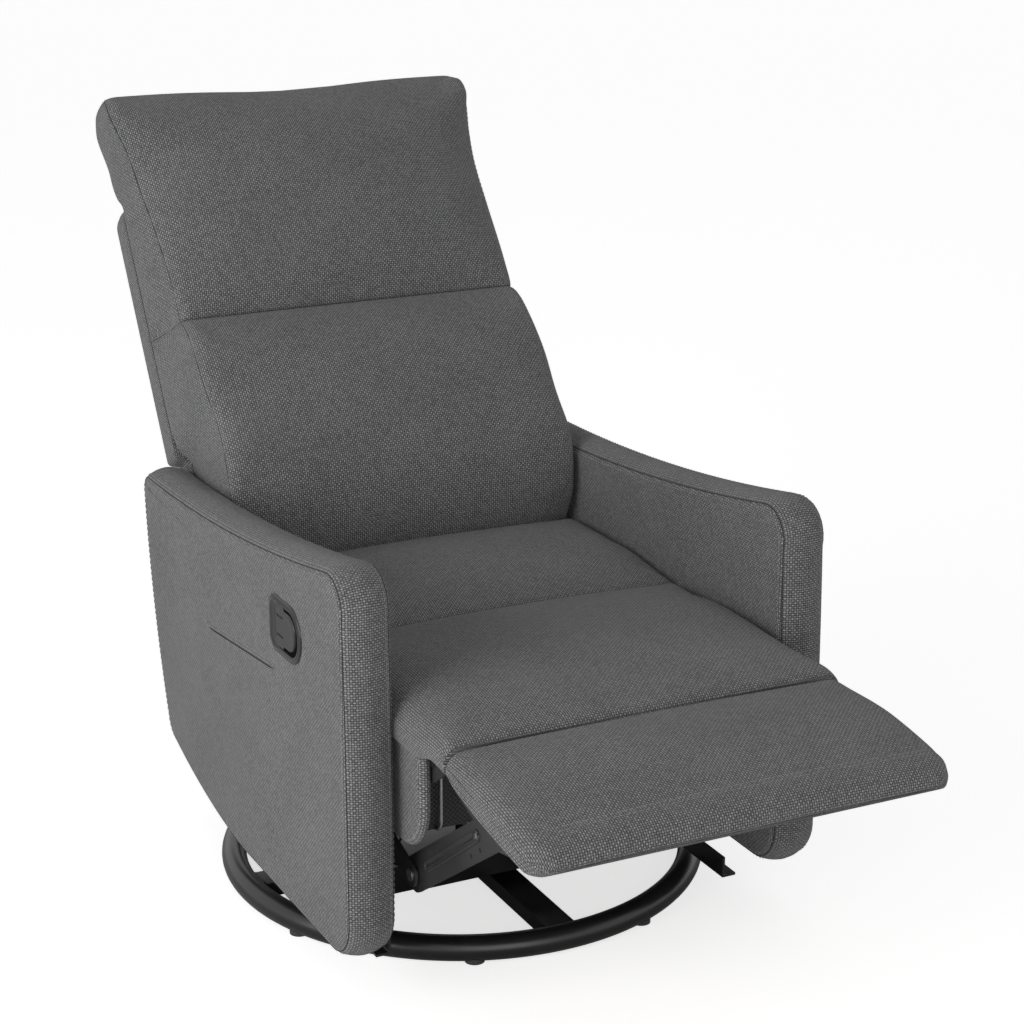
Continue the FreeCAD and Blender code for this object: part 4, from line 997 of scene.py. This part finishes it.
def stitch_points(line, normal, step=8.0, length=5.6, radius=0.65, lift=0.3, closed=False):
    """Beads along a line (n, 3): middles every step, ends drawn in, each lying along the line and
    standing lift radii out of the cloth along normal. Returns points (m, 4, 6, 3)."""
    if closed:
        line, normal = np.vstack([line, line[:1]]), np.vstack([normal, normal[:1]])
    run = running(line[None], 1)[0]
    count = int(run[-1]//step)
    middle = (np.arange(count) + 0.5)*run[-1]/count
    pick = lambda values, at: np.stack([np.interp(at, run, column) for column in values.T], -1)
    ahead = unit(pick(line, middle + 0.5) - pick(line, middle - 0.5))
    out = unit(pick(normal, middle))
    side = np.cross(ahead, out)
    turn = np.arange(BEAD_SIDES)*2*np.pi/BEAD_SIDES
    ring = np.cos(turn)[:, None]*side[:, None] + np.sin(turn)[:, None]*out[:, None]
    ends = np.array([-0.5, -0.32, 0.32, 0.5])*length
    thick = np.array([0.35, 1.0, 1.0, 0.35])*radius
    heart = pick(line, middle) + lift*radius*out
    return (heart[:, None, None] + ends[None, :, None, None]*ahead[:, None, None]
            + thick[None, :, None, None]*ring[:, None])


def stitch_piece(name, rows, body, finish):
    """All rows of beads of one cover as one mesh: three bands of six faces and two six-sided ends each."""
    beads = np.concatenate(rows)
    start = np.arange(len(beads))[:, None, None]*BEAD_RINGS*BEAD_SIDES
    around = np.arange(BEAD_SIDES)
    first = (np.arange(BEAD_RINGS - 1)*BEAD_SIDES)[:, None]
    here, there = first + around, first + (around + 1) % BEAD_SIDES
    quads = np.stack([here, there, there + BEAD_SIDES, here + BEAD_SIDES], -1).reshape(1, -1, 4)
    faces = (quads + start).reshape(-1, 4).tolist()
    ends = np.stack([around[::-1], around + (BEAD_RINGS - 1)*BEAD_SIDES])[None]
    faces += (ends + start).reshape(-1, BEAD_SIDES).tolist()
    square = np.array([(0, 0), (1, 0), (1, 1), (0, 1)], float)
    pairs = np.vstack([np.tile(square, (len(beads)*quads.shape[1], 1)),
                       np.zeros((len(beads)*2*BEAD_SIDES, 2))])
    return add_piece(name, beads.reshape(-1, 3), faces, pairs, body, "weave", finish)


thread = skin("seam_thread", (0.220, 0.220, 0.224), (0.340, 0.340, 0.344), 0.75, 1200.0, 0.0002)
# Near-black beads sunk in the seams stand for the shade in the seam grooves: painted shade.
painted_seam_shade = skin("painted_seam_shade", (0.020, 0.020, 0.020), (0.050, 0.050, 0.050), 0.85, 1200.0, 0.0002)
SEAM_SHADE_BEAD = dict(step=6.0, length=7.4, radius=0.7, lift=-0.2)
print("stitch helper ready")


# %% Arm stitches
def arm_stitches(sign):
    """Four rows of thread, 6 mm beside the seam on each panel and on the band, and in each seam a near-black
    bead of painted shade.
    """
    beside, half = 6.0, (ARM_OUT - ARM_IN)/2
    swell = 1 - ((half - beside)/half)**2
    normal = outward(rim)
    at = lambda depth, loop: np.column_stack([np.full(len(rim), sign*depth), loop])
    rows, cords = [], []
    for face, turn, puff in ((ARM_OUT, 1.0, PUFF_OUT), (ARM_IN, -1.0, PUFF_IN)):
        flat, round_it = at(turn, 0*rim), at(0.0, normal)
        panel = at(face + turn*0.9*puff, rim - normal*beside)
        rows.append(stitch_points(panel, flat, closed=True))
        band = at(face - turn*beside, rim + (brow - rim)*swell)
        rows.append(stitch_points(band, round_it, closed=True))
        groove = at(face - turn*0.9, rim - normal*0.6)
        cords.append(stitch_points(groove, flat + round_it, closed=True, **SEAM_SHADE_BEAD))
    return rows, cords


for side, sign in (("left", 1.0), ("right", -1.0)):
    rows, cords = arm_stitches(sign)
    stitch_piece("arm_stitches_" + side, rows, "chassis", thread)
    stitch_piece("arm_seam_shades_" + side, cords, "chassis", painted_seam_shade)


# %% Back and foot pad stitches
def cover_lines(piece, grid, rows, columns):
    """Points of a pad's mesh, in millimetres, and its normals, at whole rows and fractional columns of the
    grid: (1 - share) of the column below and share of the next one."""
    count = grid.shape[0]*grid.shape[1]
    spots, normals = np.empty((2, len(piece.data.vertices)*3), np.float32)
    piece.data.vertices.foreach_get("co", spots)
    piece.data.vertex_normals.foreach_get("vector", normals)
    fields = [field.reshape(-1, 3)[:count].reshape(grid.shape) for field in (spots*1000.0, normals)]
    low = np.floor(columns).astype(int)
    share = (np.asarray(columns) - low)[:, None]
    return [field[rows, low]*(1 - share) + field[rows, (low + 1) % grid.shape[1]]*share for field in fields]


def back_stitches(part, piece, grid):
    """A row of thread in front of each side seam of a back cushion, and a near-black bead of painted shade
    in the seam.
    """
    in_front = 0.7
    rows = np.arange(2, len(grid) - 2)
    threads, cords = [], []
    for seam, front in ((RIGHT_SEAM, -in_front), (LEFT_SEAM, in_front)):
        threads.append(stitch_points(*cover_lines(piece, grid, rows, np.full(len(rows), seam + front))))
        in_seam = cover_lines(piece, grid, rows, np.full(len(rows), float(seam)))
        cords.append(stitch_points(*in_seam, **SEAM_SHADE_BEAD))
    return [stitch_piece(part + "_stitches", threads, "back", thread),
            stitch_piece(part + "_seam_shades", cords, "back", painted_seam_shade)]


squeezed = [lumbar_cover] + back_stitches("lumbar", lumbar_cover, lumbar)
back_stitches("head", head_cover, head)
for piece in squeezed:
    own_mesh(piece)
foot_rows = []
columns = FIRST + np.arange(1.0, TOP)
for place in (CHANNEL - 6.0, CHANNEL + 6.0):
    row = int(np.argmin(np.abs(foot[:, 0, 1] - place)))
    foot_rows.append(stitch_points(*cover_lines(foot_cover, foot, np.full(len(columns), row), columns)))
stitch_piece("foot_stitches", foot_rows, "footrest", thread)

# %% [markdown]
# ## Net under the seat, webbing and cable clip
# A sheet of black net closes the space under the seat: it hangs from the deck, turns under the front
# rail and runs back. Behind it six straps of webbing carry the cushion. Net and webbing are flat
# goods, so each is a strip along a path; the net's mesh of cords is drawn by its finish, with painted
# shade in the holes between the cords.


# %% Net finish
def cord_net(name, pitch):
    """Two sets of cords at 45 degrees: a cord shows where |fraction - 1/2| of either diagonal is small, and
    its height is 1 - 5 times that, or 0."""
    finish, tree, shader = start_finish(name, roughness=0.6)
    split = tree.nodes.new("ShaderNodeSeparateXYZ")
    tree.links.new(coordinates(tree, "UV"), split.inputs[0])
    cords = []
    for operation in ("ADD", "SUBTRACT"):
        diagonal = calc(tree, operation, split.outputs[0], split.outputs[1])
        part = calc(tree, "FRACT", calc(tree, "DIVIDE", diagonal, pitch))
        cords.append(calc(tree, "ABSOLUTE", calc(tree, "SUBTRACT", part, 0.5)))
    nearest = calc(tree, "MINIMUM", *cords)
    height = calc(tree, "SUBTRACT", 1.0, calc(tree, "MULTIPLY", nearest, 5.0))
    height = calc(tree, "MAXIMUM", height, 0.0)
    # Colour from height: the black holes and the cords' darker edges are painted shade.
    tree.links.new(ramp(tree, height, (0.003, 0.003, 0.003), (0.085, 0.085, 0.087), 0.05, 0.9),
                   shader.inputs["Base Color"])
    raise_bump(tree, shader, height, distance=0.0008, strength=0.8)
    return finish


black_net = cord_net("black_net", pitch=0.0062)
print("net:", black_net.name)


# %% Net sheet
def sheet_piece(name, path, half, sag, body, slot, finish, hides):
    """A sheet along a path of (y, z) points, 2 half wide. It sags by sag (1 - (x/half)^2) between its sides,
    most in the middle of its path."""
    x = np.linspace(-half, half, 41)
    ahead = unit(np.gradient(path, axis=0))
    square = np.stack([ahead[:, 1], -ahead[:, 0]], -1)
    free = np.sin(np.linspace(0, np.pi, len(path)))
    drop = sag*free[:, None]*(1 - (x[None]/half)**2)
    y = path[:, :1] + square[:, :1]*drop
    z = path[:, 1:] + square[:, 1:]*drop
    grid = np.stack([np.broadcast_to(x, y.shape), y, z], -1)
    cloth = np.stack([grid[..., 0], running(grid, 0)], -1)
    return add_piece(name, *grid_faces(grid, cloth), body, slot, finish, hides)


net_path = np.concatenate([np.linspace((-356.2, 344), (-356.2, 237), 14),
                           arc((-356.2, 235), (-352, 226), (-343, 222.8), 6),
                           np.linspace((-342, 222.8), (-268, 222.8), 10)])
seat_net = sheet_piece("seat_net", net_path, half=222.5, sag=2.0, body="seat", slot="black_cloth",
                       finish=black_net, hides=["dust_cover"])

# %% Webbing
webbing = woven_cloth("strap_webbing", (0.004, 0.004, 0.004), (0.040, 0.040, 0.040), thread=0.0021,
                      weft_share=1.0)
STRAPS, STRAP_POINTS, STRAP_SAG, SEAT_HALF = 6, 30, 4.0, 238.0
strap_y = np.linspace(-352.0, 134.0, STRAP_POINTS)
strap_z = 357.0 - STRAP_SAG*np.sin(np.linspace(0, np.pi, STRAP_POINTS))
strap_profile = [(-24, 0), (-23, 0.6), (23, 0.6), (24, 0)]
for number, lane in enumerate(SEAT_HALF*(np.arange(STRAPS) - (STRAPS - 1)/2)/(STRAPS/2)):
    run = np.stack([np.full(STRAP_POINTS, lane), strap_y, strap_z], -1)
    strip_piece("seat_strap_%d" % number, run, strap_profile, (0.0, 0.0, 1.0), "seat",
                              "black_cloth", webbing)
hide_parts("seat_webbing")

# %% Cable clip
clip_loop = rounded_loop([(-312, 214), (-298, 214), (-298, 232), (-312, 232)], [5, 5, 2, 2], 6, 3)
clip_loops = [drawn_in(clip_loop, inset) for inset in (3.0, 1.0, 0.0, 0.0, 1.0, 3.0)]
stacked_loops("cable_clip", clip_loops, [-208.0, -207.6, -206.6, -195.4, -194.4, -194.0], True, body="seat",
              slot="black_plastic", finish=moulding)

# %% [markdown]
# ## Base ring
# The floor ring is one length of round tube, bent and welded. As a surface it is a circle carried
# round a circle, fine enough to keep its long highlight smooth. Small beads of weld hold the bars.


# %% Ring and welds
def ring_piece(name, large, small, height, **facts):
    """Torus: radius large + small cos b at angle a round the axis, and height + small sin b. The last row
    is the first one again, and its faces take the first row's points."""
    long_way, short_way = 192, 32
    count = long_way*short_way
    full = np.linspace(0, 2*np.pi, long_way + 1)[:, None]
    a = full[:-1]
    b = np.linspace(0, 2*np.pi, short_way + 1)[None, :-1]
    radius = large + small*np.cos(b)
    grid = np.stack([radius*np.cos(a), radius*np.sin(a), height + small*np.sin(b) + 0*a], -1)
    grid = np.concatenate([grid, grid[:1]])
    closed = closed_round(grid)
    cloth = np.stack([large*full + 0*closed[..., 0], running(closed, 1)], -1)
    points, faces, corners = grid_faces(grid, cloth, closed=True)
    return add_piece(name, points[:count], (np.array(faces) % count).tolist(), corners, **facts)


ring_piece("ring_tube", large=316.0, small=17.0, height=18.5, body="base", slot="black_coat",
           finish=powder_coat, hides=["base_ring"])


def bead_piece(name, lines, radius, steady=False, **facts):
    """Tubes along lines (m, n, 3): steady wire, or weld beads whose radius swells and shrinks."""
    lines = np.asarray(lines, float)
    count = lines.shape[1]
    ahead = unit(np.gradient(lines, axis=1))
    side = unit(np.cross(ahead, np.broadcast_to((0.0, 0.0, 1.0), ahead.shape)))
    over = np.cross(side, ahead)
    turn = np.linspace(0, 2*np.pi, 9)[:-1, None]
    ripple = 0.85 + 0.3*np.abs(np.sin(np.arange(count)*1.3))
    taper = np.clip(3*np.sin(np.linspace(0.06, np.pi - 0.06, count)), 0, 1)
    swell = np.full(count, radius) if steady else radius*ripple*taper
    grid = lines[:, :, None] + swell[None, :, None, None]*(side[:, :, None]*np.cos(turn)
                                                           + over[:, :, None]*np.sin(turn))
    points, faces, corners = np.empty((0, 3)), [], np.empty((0, 2))
    for tube in grid:
        more, joined, pairs = tube_faces(tube, closed_round(tube)[..., :2])
        faces += [[number + len(points) for number in face] for face in joined]
        points, corners = np.vstack([points, more]), np.vstack([corners, pairs])
    return add_piece(name, points, faces, corners, **facts)


WELD_HALF, WELD_ROUND, WELD_HEIGHT, WELD_BEAD = 20.5, 300.2, 25.8, 2.4
across = WELD_HALF*np.linspace(-1, 1, 24)
inner = np.sqrt(WELD_ROUND**2 - across**2)
welds = []
for bar in range(4):
    c, s = math.cos(bar*math.pi/2), math.sin(bar*math.pi/2)
    welds.append(np.stack([c*inner - s*across, s*inner + c*across, WELD_HEIGHT + 0*across], -1))
bead_piece("ring_welds", welds, WELD_BEAD, body="base", slot="black_coat", finish=powder_coat)

# %% [markdown]
# ## Rocker springs
# Four coil springs stand between the turning frame and the rocking chassis. Each is one wire carried
# along a helix, from the bottom to the top of the CAD spring it stands in for.


# %% Rocker springs
def coil_line(x, y, low, high, radius, wire, turns):
    """Helix (x + R cos a, y + R sin a, z) with z rising evenly; its two ends lie nearly flat."""
    a = np.linspace(0, 2*np.pi*turns, 20*turns + 1)
    rise = smooth(a/a[-1], [0, 0.06, 0.94, 1], [0, 0.015, 0.985, 1])
    z = low + wire + (high - low - 2*wire)*rise
    return np.stack([x + radius*np.cos(a), y + radius*np.sin(a), z], -1)


COIL, WIRE, PITCH, SPRING_X = 13.0, 2.0, 13.0, 165.0
for end in ("front", "rear"):
    solid = "rocker_springs_" + end
    (_, y_low, low), (_, y_high, high) = np.array(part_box(solid))*1000.0
    y = (y_low + y_high)/2
    turns = max(4, round((high - low)/PITCH))
    coils = [coil_line(x, y, low, high, COIL, WIRE, turns) for x in (-SPRING_X, SPRING_X)]
    springs = bead_piece("coil_springs_" + end, coils, WIRE, steady=True, body=None, slot="steel_dark",
                         finish=spring_wire, hides=[solid])
    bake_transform(springs)
    print(end, "springs from", round(low, 1), "to", round(high, 1), "mm, y", round(y, 1))

# %% [markdown]
# ## Link details
# The broad links of the leg rest are stamped: a long raised rib stiffens them, a steel rivet sits at
# its upper end, and two punched holes are beside it. Cutting them into the link would change a CAD
# piece, so each is a rounded loop stacked in small steps, standing on the link; the holes are
# near-black discs of painted shade.

# %% Ribs, rivets and holes
low_end, high_end = np.array([-392.0, 199.0]), np.array([-529.0, 296.5])
lengthwise = unit(high_end - low_end)
sideways = np.array([-lengthwise[1], lengthwise[0]])
along, aside = 8*lengthwise, 8*sideways
rib = rounded_loop([low_end - aside - along, high_end - aside + along, high_end + aside + along,
                    low_end + aside - along], [7.9]*4, per_corner=8, per_edge=10)
dot = rounded_loop([(-1, -1), (1, -1), (1, 1), (-1, 1)], [1, 1, 1, 1], per_corner=5, per_edge=1)
LINK_FACE = 230.0
rib_steps = [(0.0, -0.3), (0.2, 1.2), (0.9, 2.4), (2.0, 3.0), (3.2, 2.4), (4.2, 1.2), (5.6, 0.8)]
rivet_steps = [(6.2, 0.4), (6.2, 1.8), (5.4, 3.2), (3.6, 4.2), (1.4, 4.6)]
hole_steps = [(3.4, 0.0), (3.2, 0.15), (2.4, 0.2)]
hole_spots = np.array([(-537.0, 282.0), (-513.0, 264.0)])
for side, sign in (("left", 1), ("right", -1)):
    depths = lambda steps: [sign*(LINK_FACE + depth) for _, depth in steps]
    stacked_loops("link_rib_" + side, [drawn_in(rib, inset) for inset, _ in rib_steps], depths(rib_steps),
                  False, body="front_links", slot="steel_dark", finish=link_paint)
    stacked_loops("link_rivet_" + side, [high_end + radius*dot for radius, _ in rivet_steps],
                  depths(rivet_steps), False, body="front_links", slot="bright_steel", finish=spring_wire)
    # Each hole is a near-black disc on the link face: painted shade for the hollow.
    for number, spot in enumerate(hole_spots):
        stacked_loops("link_hole_%d_%s" % (number, side), [spot + radius*dot for radius, _ in hole_steps],
                      depths(hole_steps), False, body="front_links", slot="black_cloth", finish=painted_hollow_shade)

# %% Done
print("scene built")
